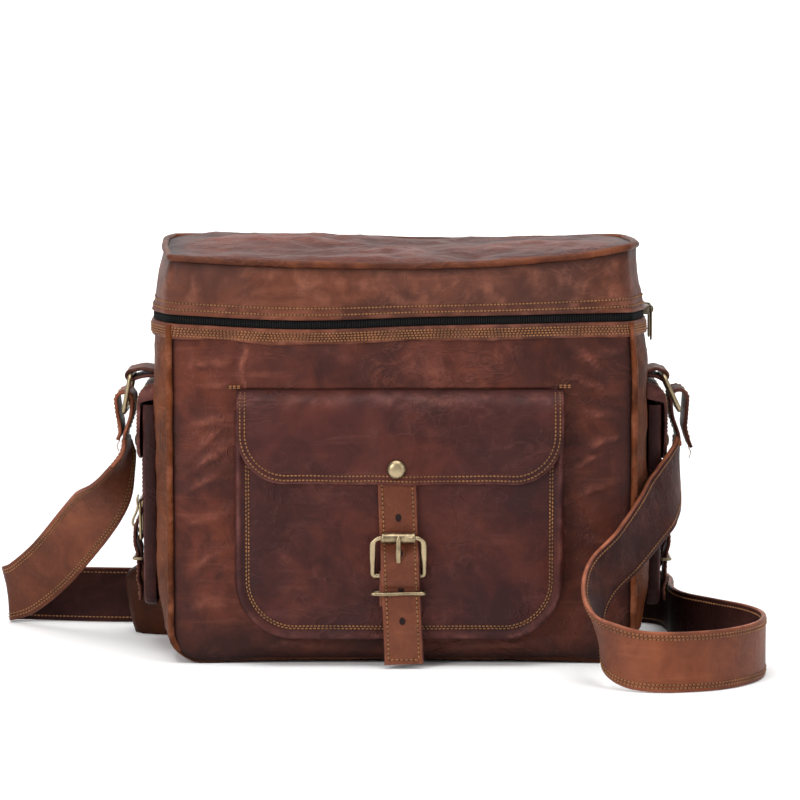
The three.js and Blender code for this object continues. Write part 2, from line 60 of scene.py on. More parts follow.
# ---------------------------------------------------------------- materials
class Nodes:
    """A short way to write a node tree."""

    def __init__(self, name):
        self.mat = bpy.data.materials.new(name)
        self.mat.use_nodes = True
        self.tree = self.mat.node_tree
        self.bsdf = self.tree.nodes["Principled BSDF"]

    def add(self, kind, values=None, **settings):
        node = self.tree.nodes.new(kind)
        for key, value in settings.items():
            setattr(node, key, value)
        for key, value in (values or {}).items():
            if isinstance(value, bpy.types.NodeSocket):
                self.tree.links.new(value, node.inputs[key])
            else:
                node.inputs[key].default_value = value
        return node

    def ramp(self, fac, stops, smooth=False):
        node = self.add("ShaderNodeValToRGB", {"Fac": fac})
        ramp = node.color_ramp
        if smooth:
            ramp.interpolation = "B_SPLINE"
        while len(ramp.elements) < len(stops):
            ramp.elements.new(0.5)
        for element, (place, colour) in zip(ramp.elements, stops):
            element.position = place
            if not hasattr(colour, "__len__"):
                colour = (colour,) * 3
            element.color = (*colour, 1)
        return node.outputs["Color"]

    def mix(self, fac, a, b, blend="MIX"):
        node = self.add("ShaderNodeMix", data_type="RGBA", blend_type=blend)
        for index, value in ((0, fac), (6, a), (7, b)):
            if isinstance(value, bpy.types.NodeSocket):
                self.tree.links.new(value, node.inputs[index])
            elif index and hasattr(value, "__len__"):
                node.inputs[index].default_value = (*value, 1)
            else:
                node.inputs[index].default_value = value
        return node.outputs[2]

    def math(self, operation, a, b=0.0):
        node = self.add("ShaderNodeMath", {0: a, 1: b}, operation=operation)
        return node.outputs[0]

    def place(self, scale=(1, 1, 1), turn=(0, 0, 0), shift=(0, 0, 0)):
        coord = self.add("ShaderNodeTexCoord").outputs["Object"]
        return self.add("ShaderNodeMapping", {"Vector": coord, "Scale": scale, "Rotation": turn,
                                              "Location": shift}).outputs[0]

    def noise(self, place, scale, detail=4.0, rough=0.55, twist=0.0):
        return self.add("ShaderNodeTexNoise", {"Vector": place, "Scale": scale, "Detail": detail,
                                               "Roughness": rough, "Distortion": twist}).outputs[0]

    def finish(self, colour, roughness, height=None, depth=0.0004, **more):
        for socket, value in (("Base Color", colour), ("Roughness", roughness)):
            if isinstance(value, bpy.types.NodeSocket):
                self.tree.links.new(value, self.bsdf.inputs[socket])
            elif socket == "Base Color":
                self.bsdf.inputs[socket].default_value = (*value, 1)
            else:
                self.bsdf.inputs[socket].default_value = value
        for socket, value in more.items():
            self.bsdf.inputs[socket.replace("_", " ")].default_value = value
        if height is not None:
            bump = self.add("ShaderNodeBump", {"Height": height, "Strength": 1.0, "Distance": depth})
            self.tree.links.new(bump.outputs[0], self.bsdf.inputs["Normal"])
        return self.mat


def leather(name, dark, mid, light, seed=0.0, worn=0.5, shine=0.13, plum=0.7, crease=0.75):
    """Waxed leather: cloudy colour, pale scuffs and crazing, a fine pebbled grain."""
    n = Nodes(name)
    here = n.place(shift=(seed, seed * 0.7, seed * 1.3))
    cloud = n.noise(here, 14, 6, 0.62, 0.6)
    patch = n.noise(here, 42, 5, 0.6, 1.2)
    tone = n.math("ADD", n.math("MULTIPLY", cloud, 0.62), n.math("MULTIPLY", patch, 0.38))
    colour = n.ramp(tone, [(0.40, dark), (0.5, mid), (0.60, light)], smooth=True)
    # broad stains where the dye went on heavier and cooler
    stain = n.ramp(n.noise(n.place(shift=(seed * 2, 3, seed)), 6.5, 3, 0.5, 0.8), [(0.44, 0), (0.58, 1)],
        smooth=True)
    cool = (mid[0] * 0.6, mid[1] * 0.85, mid[2] * 1.35)
    colour = n.mix(n.math("MULTIPLY", stain, plum * 0.75), colour, cool)
    # streaks rubbed along and across the hide
    streak = n.noise(n.place((14, 26, 130), shift=(seed, 0, 0)), 1, 5, 0.6, 0.5)
    across = n.noise(n.place((120, 40, 16), turn=(0, 0.5, 0.2)), 1, 4, 0.6, 0.5)
    rub = n.math("MULTIPLY", n.ramp(streak, [(0.56, 0), (0.74, 1)]), n.ramp(cloud, [(0.42, 0), (0.6, 1)]))
    rub = n.math("MAXIMUM", rub, n.math("MULTIPLY", n.ramp(across, [(0.6, 0), (0.8, 0.7)]),
                                        n.ramp(patch, [(0.45, 0), (0.6, 1)])))
    pale = tuple(min(1, c * 1.5 + 0.02) for c in light)
    colour = n.mix(n.math("MULTIPLY", rub, worn), colour, pale)
    # crazing: a net of fine cracks, paler where the wax has opened
    jitter = n.add("ShaderNodeVectorMath", {0: n.add("ShaderNodeTexNoise", {"Vector": here, "Scale": 90.0,
                   "Detail": 3.0}).outputs[1]}, operation="SCALE")
    jitter.inputs[3].default_value = 0.012
    shaken = n.add("ShaderNodeVectorMath", {0: here, 1: jitter.outputs[0]}, operation="ADD").outputs[0]
    net = n.add("ShaderNodeTexVoronoi", {"Vector": shaken, "Scale": 95.0},
        feature="DISTANCE_TO_EDGE").outputs[0]
    crack = n.ramp(net, [(0.0, 1), (0.05, 0)])
    where = n.ramp(n.noise(here, 22, 3), [(0.5, 0), (0.64, 1)])
    crack = n.math("MULTIPLY", crack, where)
    colour = n.mix(n.math("MULTIPLY", crack, 0.30 * worn + 0.05), colour, pale)
    # short creases where the hide has been folded
    bent = n.noise(n.place((1, 1, 1.5), turn=(0, 0.45, 0), shift=(seed * 3, 0, 1)), 33, 4, 0.55, 1.6)
    line = n.ramp(n.math("ABSOLUTE", n.math("SUBTRACT", bent, 0.5)), [(0.0, crease), (0.045, 0)],
        smooth=True)
    line = n.math("MULTIPLY", line, n.ramp(n.noise(here, 17, 2), [(0.45, 0), (0.56, 1)]))
    colour = n.mix(n.math("MULTIPLY", line, 0.75 * worn), colour, pale)
    # worn edges and folds, from the mesh
    wear = n.add("ShaderNodeAttribute", attribute_name="wear").outputs["Fac"]
    broken = n.math("MULTIPLY", wear, n.ramp(n.noise(here, 160, 4, 0.7), [(0.35, 0.25), (0.6, 1)]))
    colour = n.mix(n.math("MULTIPLY", broken, 0.8), colour, tuple(min(1, c * 2.0 + 0.03) for c in light))
    # painted shade: the per-point value read here darkens the colour towards a third of the dark tone, at
    # seams, recesses, undersides and faces turned from the light
    painted_shade = n.add("ShaderNodeAttribute", attribute_name="painted_shade").outputs["Fac"]
    colour = n.mix(painted_shade, colour, tuple(c * 0.35 for c in dark))
    # pebbled grain
    pebble = n.add("ShaderNodeTexVoronoi", {"Vector": shaken, "Scale": 900.0}).outputs[0]
    fine = n.noise(here, 1500, 3, 0.6)
    height = n.math("ADD", n.math("MULTIPLY", pebble, 0.5), n.math("MULTIPLY", fine, 0.35))
    height = n.math("ADD", height, n.math("MULTIPLY", n.noise(here, 260, 4, 0.6), 0.9))
    height = n.math("SUBTRACT", height, n.math("MULTIPLY", crack, 0.7))
    height = n.math("ADD", height, n.math("MULTIPLY", line, 4.0))
    height = n.math("ADD", height, n.math("MULTIPLY", n.noise(here, 75, 4, 0.6, 0.8), 3.0))
    gloss = n.math("ADD", n.math("MULTIPLY", n.noise(here, 60, 4), 0.28), 0.36)
    return n.finish(colour, gloss, height, 0.00022, Specular_IOR_Level=shine)


def thread(name, colour):
    n = Nodes(name)
    here = n.place()
    ply = n.add("ShaderNodeTexWave", {"Vector": here, "Scale": 900.0, "Distortion": 2.0}).outputs[1]
    tone = n.ramp(n.noise(here, 70, 3), [(0.35, tuple(c * 0.55 for c in colour)), (0.65, colour)])
    return n.finish(tone, 0.62, ply, 0.0001)


def metal(name, base, high, rough=0.34):
    """Antique brass: dull dark film with rubbed bright places, and small pits."""
    n = Nodes(name)
    here = n.place()
    film = n.noise(here, 130, 5, 0.6, 0.4)
    spots = n.noise(here, 700, 3, 0.6)
    tone = n.math("ADD", n.math("MULTIPLY", film, 0.7), n.math("MULTIPLY", spots, 0.3))
    colour = n.ramp(tone, [(0.38, base), (0.62, high)], smooth=True)
    wear = n.add("ShaderNodeAttribute", attribute_name="wear").outputs["Fac"]
    colour = n.mix(n.math("MULTIPLY", wear, 0.7), colour, tuple(min(1, c * 1.5) for c in high))
    gloss = n.math("ADD", n.math("MULTIPLY", tone, 0.35), rough - 0.14)
    scratch = n.noise(n.place((900, 60, 500), turn=(0.3, 0.5, 0.2)), 1, 3)
    height = n.math("ADD", n.math("MULTIPLY", spots, 0.6), n.math("MULTIPLY", scratch, 0.4))
    return n.finish(colour, gloss, height, 0.00012, Metallic=1.0)


def cloth(name, base, light, scale=620.0, rough=0.9, sheen=0.25):
    """Woven or brushed textile: crossing threads with a soft nap."""
    n = Nodes(name)
    here = n.place()
    one = n.add("ShaderNodeTexWave", {"Vector": n.place(turn=(0, 0, 0.785)), "Scale": scale,
        "Distortion": 1.5}).outputs[1]
    two = n.add("ShaderNodeTexWave", {"Vector": n.place(turn=(0.785, 0.785, 0)), "Scale": scale,
        "Distortion": 1.5},
                bands_direction="Z").outputs[1]
    weave = n.math("MULTIPLY", n.math("ADD", one, two), 0.5)
    nap = n.noise(here, 120, 5, 0.65)
    tone = n.math("ADD", n.math("MULTIPLY", weave, 0.4), n.math("MULTIPLY", nap, 0.6))
    colour = n.ramp(tone, [(0.3, base), (0.7, light)])
    return n.finish(colour, rough, tone, 0.0003, Sheen_Weight=sheen, Specular_IOR_Level=0.2)


MAT = {
    "body": leather("body_leather", (0.0269, 0.0075, 0.0058), (0.0646, 0.0150, 0.0091),
        (0.1211, 0.0285, 0.0140), 0.0, 0.5),
    "pocket": leather("pocket_leather", (0.0249, 0.0068, 0.0057), (0.0477, 0.0115, 0.0087),
    (0.0830, 0.0191, 0.0121), 3.1, 0.35),
    "lid": leather("lid_leather", (0.0494, 0.0157, 0.0097), (0.0950, 0.0280, 0.0150),
    (0.1568, 0.0480, 0.0238), 5.3, 0.45, crease=0.6),
    "gusset": leather("gusset_leather", (0.0390, 0.0100, 0.0036), (0.0810, 0.0205, 0.0066),
    (0.1270, 0.0330, 0.0096), 7.7, 0.5, shine=0.07, plum=0.3),
    "strap": leather("strap_leather", (0.0904, 0.0239, 0.0112), (0.1490, 0.0404, 0.0173),
    (0.2074, 0.0588, 0.0242), 9.2, 0.3, crease=0.2),
    # back faces of straps, flaps and tabs: a darker flesh side, darkened further as painted shade
    "inner": leather("strap_inner", (0.0225, 0.0070, 0.0060), (0.0400, 0.0118, 0.0092),
    (0.0820, 0.0250, 0.0174), 12.4, 0.25, shine=0.06, plum=0.3, crease=0.4),
    "piping": leather("piping_leather", (0.0446, 0.0112, 0.0056), (0.0892, 0.0229, 0.0092),
    (0.1547, 0.0433, 0.0153), 15.0, 0.4),
    "thread": thread("tan_thread", (0.30, 0.122, 0.038)),
    # needle and punched holes: a dark colour, painted shade for their insides
    "hole": leather("needle_hole", (0.010, 0.004, 0.003), (0.016, 0.006, 0.004), (0.024, 0.009, 0.006),
    1.0, 0.1),
    "brass": metal("antique_brass", (0.13, 0.095, 0.055), (0.42, 0.33, 0.20)),
    "dark_brass": metal("dark_brass", (0.06, 0.048, 0.034), (0.22, 0.18, 0.12), 0.4),
    "tape": cloth("zip_tape", (0.0025, 0.0023, 0.0024), (0.007, 0.0066, 0.0068), 900, 0.9, 0.04),
    "teeth": cloth("zip_teeth", (0.003, 0.0028, 0.003), (0.009, 0.0085, 0.009), 1400, 0.5, 0.03),
    "lining": cloth("lining_fabric", (0.020, 0.018, 0.016), (0.055, 0.049, 0.043)),
    "board": cloth("stiffener_board", (0.025, 0.024, 0.023), (0.050, 0.047, 0.044), 300, 0.85),
}


# ---------------------------------------------------------------- mesh building
class Mesh:
    """Collects closed shells, each with a material, into one mesh."""

    def __init__(self, *mats):
        self.mats = list(mats)
        self.verts, self.faces, self.slots, self.wear, self.painted_shade = [], [], [], [], []
        self.count = 0

    def put(self, verts, faces, mat, wear=None, painted_shade=None):
        verts = np.asarray(verts, float).reshape(-1, 3)
        if mat not in self.mats:
            self.mats.append(mat)
        self.verts.append(verts)
        self.faces += [tuple(i + self.count for i in f) for f in faces]
        self.slots += [self.mats.index(mat)] * len(faces)
        self.wear.append(np.zeros(len(verts)) if wear is None else np.asarray(wear, float).ravel())
        self.painted_shade.append(np.zeros(len(verts)) if painted_shade is None else np.asarray(painted_shade, float).ravel())
        self.count += len(verts)
        return self

    def done(self, name, body, nodes=(), slot=None, turn=None, sharp=50, warp=None):
        co = np.concatenate(self.verts)
        if turn is not None:
            co = turned(co, turn)
        if warp is not None:
            co = warp(co)
        me = bpy.data.meshes.new(name)
        me.from_pydata((co * MM).tolist(), [], self.faces)
        for m in self.mats:
            me.materials.append(MAT[m])
        me.polygons.foreach_set("material_index", self.slots)
        # per-point wear, and per-point painted shade that darkens the leather
        for key, values in (("wear", self.wear), ("painted_shade", self.painted_shade)):
            layer = me.attributes.new(key, "FLOAT", "POINT")
            layer.data.foreach_set("value", np.clip(np.concatenate(values), 0, 1).astype(np.float32))
        me.validate()
        me.shade_smooth()
        me.set_sharp_from_angle(angle=math.radians(sharp))
        me.update()
        obj = bpy.data.objects.new(name, me)
        bpy.context.scene.collection.objects.link(obj)
        if body:
            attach(obj, body)
        if nodes:
            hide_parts(*nodes)
        return obj


TURN = {"front": None, "left": -1, "right": 1}


def turned(co, turn):
    """Points made facing -Y, turned to the left or the right side."""
    out = co.copy()
    out[:, 0] = -turn * co[:, 1]
    out[:, 1] = turn * co[:, 0]
    return out


def normals_of(grid, around=False):
    """Normals of a grid of points, row by column, on the side du x dv."""
    du = np.gradient(grid, axis=0)
    if around:
        dv = np.roll(grid, -1, 1) - np.roll(grid, 1, 1)
    else:
        dv = np.gradient(grid, axis=1)
    n = np.cross(du, dv)
    size = np.linalg.norm(n, axis=2, keepdims=True)
    return n / np.maximum(size, 1e-9)


def grid_faces(rows, cols, around=False, flip=False, start=0):
    out = []
    for i in range(rows - 1):
        for j in range(cols if around else cols - 1):
            k = (j + 1) % cols
            f = (start + i * cols + j, start + i * cols + k, start + (i + 1) * cols + k,
                start + (i + 1) * cols + j)
            out.append(f[::-1] if flip else f)
    return out


def shell(mesh, outer, inner, mat, around=False, wear=None, painted_shade=None, inner_mat=None, flip=False,
    meets=False):
    """A closed sheet between two grids of the same size.

    meets: the last row closes on itself, so it has no rim.
    """
    rows, cols = outer.shape[:2]
    n = rows * cols
    verts = np.concatenate([outer.reshape(-1, 3), inner.reshape(-1, 3)])
    faces = grid_faces(rows, cols, around, flip)
    back = grid_faces(rows, cols, around, not flip, n)
    rim = []
    for j in range(cols if around else cols - 1):
        k = (j + 1) % cols
        rim.append((j, n + j, n + k, k))
        a = (rows - 1) * cols
        if not meets:
            rim.append((a + k, n + a + k, n + a + j, a + j))
    if not around:
        for i in range(rows - 1):
            rim.append((i * cols, (i + 1) * cols, n + (i + 1) * cols, n + i * cols))
            a = cols - 1
            rim.append(((i + 1) * cols + a, i * cols + a, n + i * cols + a, n + (i + 1) * cols + a))
    if flip:
        rim = [f[::-1] for f in rim]
    w = None if wear is None else np.concatenate([np.broadcast_to(wear, (rows, cols)).ravel()] * 2)
    d = None if painted_shade is None else np.concatenate([np.broadcast_to(painted_shade, (rows, cols)).ravel()] * 2)
    if inner_mat is None:
        mesh.put(verts, faces + back + rim, mat, w, d)
    else:
        if inner_mat not in mesh.mats:
            mesh.mats.append(inner_mat)
        mesh.put(verts, faces + rim + back, mat, w, d)
        mesh.slots[-len(back):] = [mesh.mats.index(inner_mat)] * len(back)
    return mesh


def resample(points, count, closed=False):
    """The polyline's points at even spacing."""
    p = np.asarray(points, float)
    if closed:
        p = np.vstack([p, p[:1]])
    seg = np.linalg.norm(np.diff(p, axis=0), axis=1)
    s = np.concatenate([[0], np.cumsum(seg)])
    want = np.linspace(0, s[-1], count + 1)[:-1] if closed else np.linspace(0, s[-1], count)
    return np.stack([np.interp(want, s, p[:, i]) for i in range(3)], 1)


def spline(points, per=12):
    """Catmull-Rom through the points."""
    p = np.asarray(points, float)
    p = np.vstack([2 * p[0] - p[1], p, 2 * p[-1] - p[-2]])
    out = []
    for i in range(1, len(p) - 2):
        a, b, c, d = p[i - 1:i + 3]
        for t in np.linspace(0, 1, per, endpoint=False):
            out.append(0.5 * (2 * b + (c - a) * t + (2 * a - 5 * b + 4 * c - d) * t * t
                              + (3 * b - a - 3 * c + d) * t ** 3))
    out.append(p[-2])
    return np.array(out)


def frames(path, closed=False, up=(0, 0, 1)):
    """Tangent, side and normal at each point, carried along without twisting."""
    t = (np.roll(path, -1, 0) - np.roll(path, 1, 0)) if closed else np.gradient(path, axis=0)
    t /= np.maximum(np.linalg.norm(t, axis=1, keepdims=True), 1e-9)
    side = np.cross(t[0], up)
    if np.linalg.norm(side) < 1e-3:
        side = np.cross(t[0], (1, 0.1, 0))
    sides = []
    for v in t:
        side = side - v * np.dot(side, v)
        side = side / np.linalg.norm(side)
        sides.append(side)
    sides = np.array(sides)
    return t, sides, np.cross(sides, t)


def tube(mesh, path, radius, mat, closed=False, around=10, up=(0, 0, 1), wear=0.0):
    """A round bar along a path."""
    path = np.asarray(path, float)
    n = len(path)
    radius = np.broadcast_to(radius, n)
    _, side, norm = frames(path, closed, up)
    a = np.linspace(0, 2 * math.pi, around, endpoint=False)
    ring = path[:, None] + side[:, None] * (np.cos(a)[None, :, None] * radius[:, None, None]) \
        + norm[:, None] * (np.sin(a)[None, :, None] * radius[:, None, None])
    faces = grid_faces(n, around, True)
    verts = ring.reshape(-1, 3)
    if closed:
        for j in range(around):
            k = (j + 1) % around
            faces.append(((n - 1) * around + j, (n - 1) * around + k, k, j))
    else:
        verts = np.vstack([verts, path[:1], path[-1:]])
        for j in range(around):
            k = (j + 1) % around
            faces.append((n * around, k, j))
            faces.append((n * around + 1, (n - 1) * around + j, (n - 1) * around + k))
    return mesh.put(verts, faces, mat, np.full(len(verts), wear))


def stitches(mesh, path, normal, pitch=3.0, gap=0.75, radius=0.43, lift=0.14, closed=False):
    """A row of thread stitches with a needle hole between each two, painted dark as shade."""
    path = np.asarray(path, float)
    normal = np.broadcast_to(np.asarray(normal, float), path.shape)
    if closed:
        path = np.vstack([path, path[:1]])
        normal = np.vstack([normal, normal[:1]])
    s = np.concatenate([[0], np.cumsum(np.linalg.norm(np.diff(path, axis=0), axis=1))])
    count = max(1, int(s[-1] / pitch))
    step = s[-1] / count

    def at(d):
        return (np.array([np.interp(d, s, path[:, i]) for i in range(3)]),
                np.array([np.interp(d, s, normal[:, i]) for i in range(3)]))
    verts, faces, hv, hf = [], [], [], []
    sides = 6
    rings = ((0.0, 0.35, -0.55), (0.14, 0.85, -0.05), (0.5, 1.0, 0.25), (0.86, 0.85, -0.05),
        (1.0, 0.35, -0.55))
    for i in range(count):
        a, b = i * step + gap / 2, (i + 1) * step - gap / 2
        slant = random.uniform(-0.10, 0.10)
        base = len(verts)
        for share, size, high in rings:
            p, n = at(a + (b - a) * share)
            q, _ = at(a + (b - a) * share + 0.3)
            t = q - at(a + (b - a) * share - 0.3)[0]
            t /= max(np.linalg.norm(t), 1e-9)
            n = n / max(np.linalg.norm(n), 1e-9)
            side = np.cross(t, n)
            p = p + n * (lift + radius * high) + side * slant * (share - 0.5) * 2
            for k in range(sides):
                c = 2 * math.pi * k / sides
                verts.append(p + side * math.cos(c) * radius * size * 1.15 + n * math.sin(c) * radius
                    * size)
        for r in range(len(rings) - 1):
            for k in range(sides):
                m = (k + 1) % sides
                faces.append((base + r * sides + k, base + r * sides + m, base + (r + 1) * sides + m,
                    base + (r + 1) * sides + k))
        faces.append(tuple(base + k for k in range(sides))[::-1])
        faces.append(tuple(base + (len(rings) - 1) * sides + k for k in range(sides)))
        # the needle hole: a small disc in the dark hole colour, painted shade
        p, n = at(i * step)
        q = at(i * step + 0.3)[0] - at(i * step - 0.3)[0]
        q /= max(np.linalg.norm(q), 1e-9)
        n = n / max(np.linalg.norm(n), 1e-9)
        side = np.cross(q, n)
        hb = len(hv)
        for size, high in ((1.0, -0.3), (0.85, 0.12)):
            for k in range(6):
                c = 2 * math.pi * k / 6
                hv.append(p + side * math.cos(c) * size * 0.62 + q * math.sin(c) * size * 0.5 + n * high)
        for k in range(6):
            m = (k + 1) % 6
            hf.append((hb + k, hb + m, hb + 6 + m, hb + 6 + k))
        hf.append(tuple(hb + k for k in range(6))[::-1])
        hf.append(tuple(hb + 6 + k for k in range(6)))
    mesh.put(verts, [f[::-1] for f in faces], "thread")
    mesh.put(hv, hf, "hole")
    return mesh


def wave(p, scale, seed=0.0, octaves=3):
    """Smooth noise of each point, about -1 to 1."""
    q = np.asarray(p, float).reshape(-1, 3) * scale + seed
    return np.array([noise.fractal(Vector(v), 1.0, 2.0, octaves) for v in q]).reshape(np.shape(p)[:-1])


def smooth(low, high, x):
    t = np.clip((np.asarray(x, float) - low) / (high - low), 0, 1)
    return t * t * (3 - 2 * t)


def pad(mesh, low, high, mat, round_=3.5, puff=1.2, cell=9.0, seed=0.0):
    """A stuffed board: rounded edges, faces that swell and a slightly uneven surface."""
    low, high = np.array(low, float), np.array(high, float)
    size = high - low
    r = min(round_, *(size / 2 - 0.05))
    counts = [max(3, int(s / cell)) + 2 for s in size]
    for axis in range(3):
        u, v = (axis + 1) % 3, (axis + 2) % 3
        for end in (0, 1):
            gu = low[u] + size[u] * edge_spaced(counts[u], r / size[u])
            gv = low[v] + size[v] * edge_spaced(counts[v], r / size[v])
            p = np.zeros((len(gu), len(gv), 3))
            p[..., u] = gu[:, None]
            p[..., v] = gv[None, :]
            p[..., axis] = high[axis] if end else low[axis]
            core = np.clip(p, low + r, high - r)
            d = p - core
            length = np.linalg.norm(d, axis=2, keepdims=True)
            q = core + d / np.maximum(length, 1e-9) * r
            a = (p[..., u] - low[u]) / size[u] * 2 - 1
            b = (p[..., v] - low[v]) / size[v] * 2 - 1
            swell = (1 - a ** 4) * (1 - b ** 4) * puff * min(1, min(size[u], size[v]) / 30)
            uneven = wave(q, 0.035, seed + axis, 2) * 0.35 * (1 - a ** 6) * (1 - b ** 6)
            q[..., axis] += (swell + uneven) * (1 if end else -1)
            mesh.put(q.reshape(-1, 3), grid_faces(len(gu), len(gv), False, not end), mat)
    return mesh


def edge_spaced(count, edge):
    """0 to 1 with three close steps at each end, so that a rounded edge has points."""
    edge = min(edge, 0.4)
    inner = np.linspace(edge, 1 - edge, count)
    return np.concatenate([[0, edge * 0.3, edge * 0.65], inner, [1 - edge * 0.65, 1 - edge * 0.3, 1]])


def weld(obj, gap=0.02):
    """Joins the seams of a mesh that was made as separate patches."""
    import bmesh
    bm = bmesh.new()
    bm.from_mesh(obj.data)
    bmesh.ops.remove_doubles(bm, verts=bm.verts, dist=gap * MM)
    bmesh.ops.dissolve_degenerate(bm, edges=bm.edges, dist=0.001 * MM)
    bmesh.ops.recalc_face_normals(bm, faces=bm.faces)
    bm.to_mesh(obj.data)
    bm.free()
    obj.data.set_sharp_from_angle(angle=math.radians(50))
    return obj


# ---------------------------------------------------------------- the bag's outline
FACE = 77.5
HALF = 147.5
SIDE = 161.0
TOP = 222.0


def rim(offset, count=260):
    """The bag's plan outline, from the middle of the back round the left side, closed."""
    a, b, c = 148 + offset, FACE + offset, SIDE + offset
    corners = [(0, b), (-a, b), (-c, 50), (-c, -50), (-a, -b), (a, -b), (c, -50), (c, 50), (a, b)]
    return soften(corners, count, 7.0)


def soften(corners, count, radius):
    """A closed outline through the corners, rounded off."""
    p = resample([(x, y, 0) for x, y in corners], 1200, True)
    length = np.linalg.norm(np.diff(np.vstack([p, p[:1]]), axis=0), axis=1).sum()
    reach = int(radius / (length / 1200))
    kernel = np.exp(-0.5 * (np.arange(-3 * reach, 3 * reach + 1) / reach) ** 2)
    kernel /= kernel.sum()
    out = np.stack([np.convolve(np.concatenate([p[-3 * reach:, i], p[:, i], p[:3 * reach, i]]), kernel,
        "valid")
                    for i in range(3)], 1)
    return resample(out, count, True)


SIDE_LINE = rim(0, 2000)
_left = SIDE_LINE[(SIDE_LINE[:, 0] < -140)]
_order = np.argsort(_left[:, 1])


def side_reach(y):
    """How far out the gusset's face lies at depth y."""
    return -np.interp(y, _left[_order, 1], _left[_order, 0])


def droop(co):
    """The mouth as it stands: the front sags between the corners, and the right side leans in a little."""
    x, y, z = co[..., 0], co[..., 1], co[..., 2]
    line = 5.2 * np.exp(-((x + 62) / 78) ** 2) + 1.6 * np.exp(-((x - 60) / 60) ** 2)
    front = smooth(30, -77, y)
    high = smooth(168, 214, z)
    out = co.copy()
    out[..., 2] -= line * front * high
    out[..., 0] -= 4.4 * smooth(140, 160, x) * smooth(188, 221, z)
    return out


# ---------------------------------------------------------------- front and back panels
CREASES = [  # x, z of both ends, half width, height
    (-101, 214, -104, 186, 1.6, 1.7), (-104, 186, -99, 180, 1.8, 1.2), (-133, 196, -108, 200, 1.7, 1.3),
    (-136, 205, -133, 190, 1.7, 0.9), (-128, 184, -106, 180, 1.8, 1.1), (-137, 156, -112, 160, 2.0, 1.0),
    (-132, 140, -114, 154, 1.7, 1.5), (-134, 128, -112, 142, 2.0, 1.4), (-138, 112, -118, 124, 2.0, 0.9),
    (-140, 92, -116, 98, 2.4, 0.9), (-136, 62, -114, 74, 2.4, 0.8), (-138, 36, -112, 40, 2.6, 0.9),
    (112, 206, 128, 190, 1.8, 1.3), (124, 200, 139, 204, 1.8, 1.0), (108, 186, 132, 178, 1.8, 1.1),
    (112, 166, 136, 160, 2.0, 1.2), (118, 140, 140, 149, 1.8, 1.4), (110, 128, 131, 138, 2.0, 1.2),
    (113, 108, 138, 118, 2.0, 0.9), (116, 84, 138, 78, 2.4, 0.9), (112, 52, 139, 60, 2.4, 0.8),
    (-60, 208, -20, 203, 2.4, 0.6), (20, 206, 70, 210, 2.6, 0.6), (-90, 12, -40, 10, 2.6, 0.8),
    (40, 11, 96, 13, 2.6, 0.8),
]


def creases(x, z):
    out = np.zeros_like(x)
    bend = wave(np.stack([x, z, x * 0], -1), 0.05, 4.0, 2) * 3.5
    for x0, z0, x1, z1, width, high in CREASES:
        dx, dz = x1 - x0, z1 - z0
        t = np.clip(((x - x0) * dx + (z - z0) * dz) / (dx * dx + dz * dz), 0, 1)
        d = ((x - x0 - t * dx) * dz - (z - z0 - t * dz) * dx) / math.hypot(dx, dz) + bend
        away = np.hypot(x - x0 - t * dx, z - z0 - t * dz)
        fade = np.sin(np.pi * np.clip(t * 0.9 + 0.05, 0, 1))
        out += high * fade * (np.exp(-np.abs(d) / width) - 0.45
            * np.exp(-((d - 2.2 * width) / (1.6 * width)) ** 2)) \
            * (away < 14)
    return out * 1.5


def relief(x, z, sign):
    """How far the leather of the front or the back stands out, and how much of that is folds."""
    base = np.stack([x, z * 0, z], -1)
    cloud = wave(base, 0.016, 2.0 * sign, 3) * 1.6 + wave(base, 0.07, 5.0 * sign, 3) * 0.45
    fold = creases(x, z) if sign < 0 else creases(-x * 0.9, z * 1.0 - 4) * 0.7
    return cloud + fold, fold


def panel(sign):
    """The front (sign -1) or the back panel: pillowed inside its piping."""
    low, top, corner = 1.2, 221.0, 20.0
    nz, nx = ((90, 120))
    zs = low + (top - low) * np.linspace(0, 1, nz) ** 1.0
    u = np.linspace(-1, 1, nx)
    half = HALF - corner + np.sqrt(np.clip(corner ** 2 - np.clip(corner - (zs - low), 0, corner) ** 2, 0,
        None))
    x = half[:, None] * u[None, :]
    z = np.repeat(zs[:, None], nx, 1)
    edge = np.minimum(np.minimum(half[:, None] - np.abs(x), z - low), 40)
    pillow = 2.4 * (1 - np.exp(-edge / 5.0)) - 2.0
    uneven, fold = relief(x, z, sign)
    quiet = smooth(0, 9, edge)
    out = pillow + uneven * quiet
    # the middle of the lower edge stands a little clear of the floor
    clear = smooth(-118, -84, x) * smooth(138, 108, x) if sign < 0 else smooth(-140, -90, x) * smooth(140,
        90, x)
    z = z + 2.8 * clear * np.exp(-(z - low) / 7.0)
    outer = np.stack([x, sign * (FACE + out), z], -1)
    inner = np.stack([x, sign * (FACE - 3.6) + 0 * x, z], -1)
    m = Mesh("body")
    wear = np.clip(fold * 0.55, 0, 1) * quiet
    # painted shade: darker along the piping seam and towards the floor
    painted_shade = np.clip(np.exp(-edge / 2.0) * 0.8 + 0.72 * np.exp(-(z - low) / 20.0), 0, 0.9)
    # painted shade on the right of the front, turned away from the main light
    if sign < 0:
        painted_shade = np.clip(painted_shade + 0.30 * smooth(70, 135, x) * smooth(215, 190, z), 0, 0.9)
    shell(m, outer, inner, "body", wear=wear, painted_shade=painted_shade, flip=sign > 0)
    return m


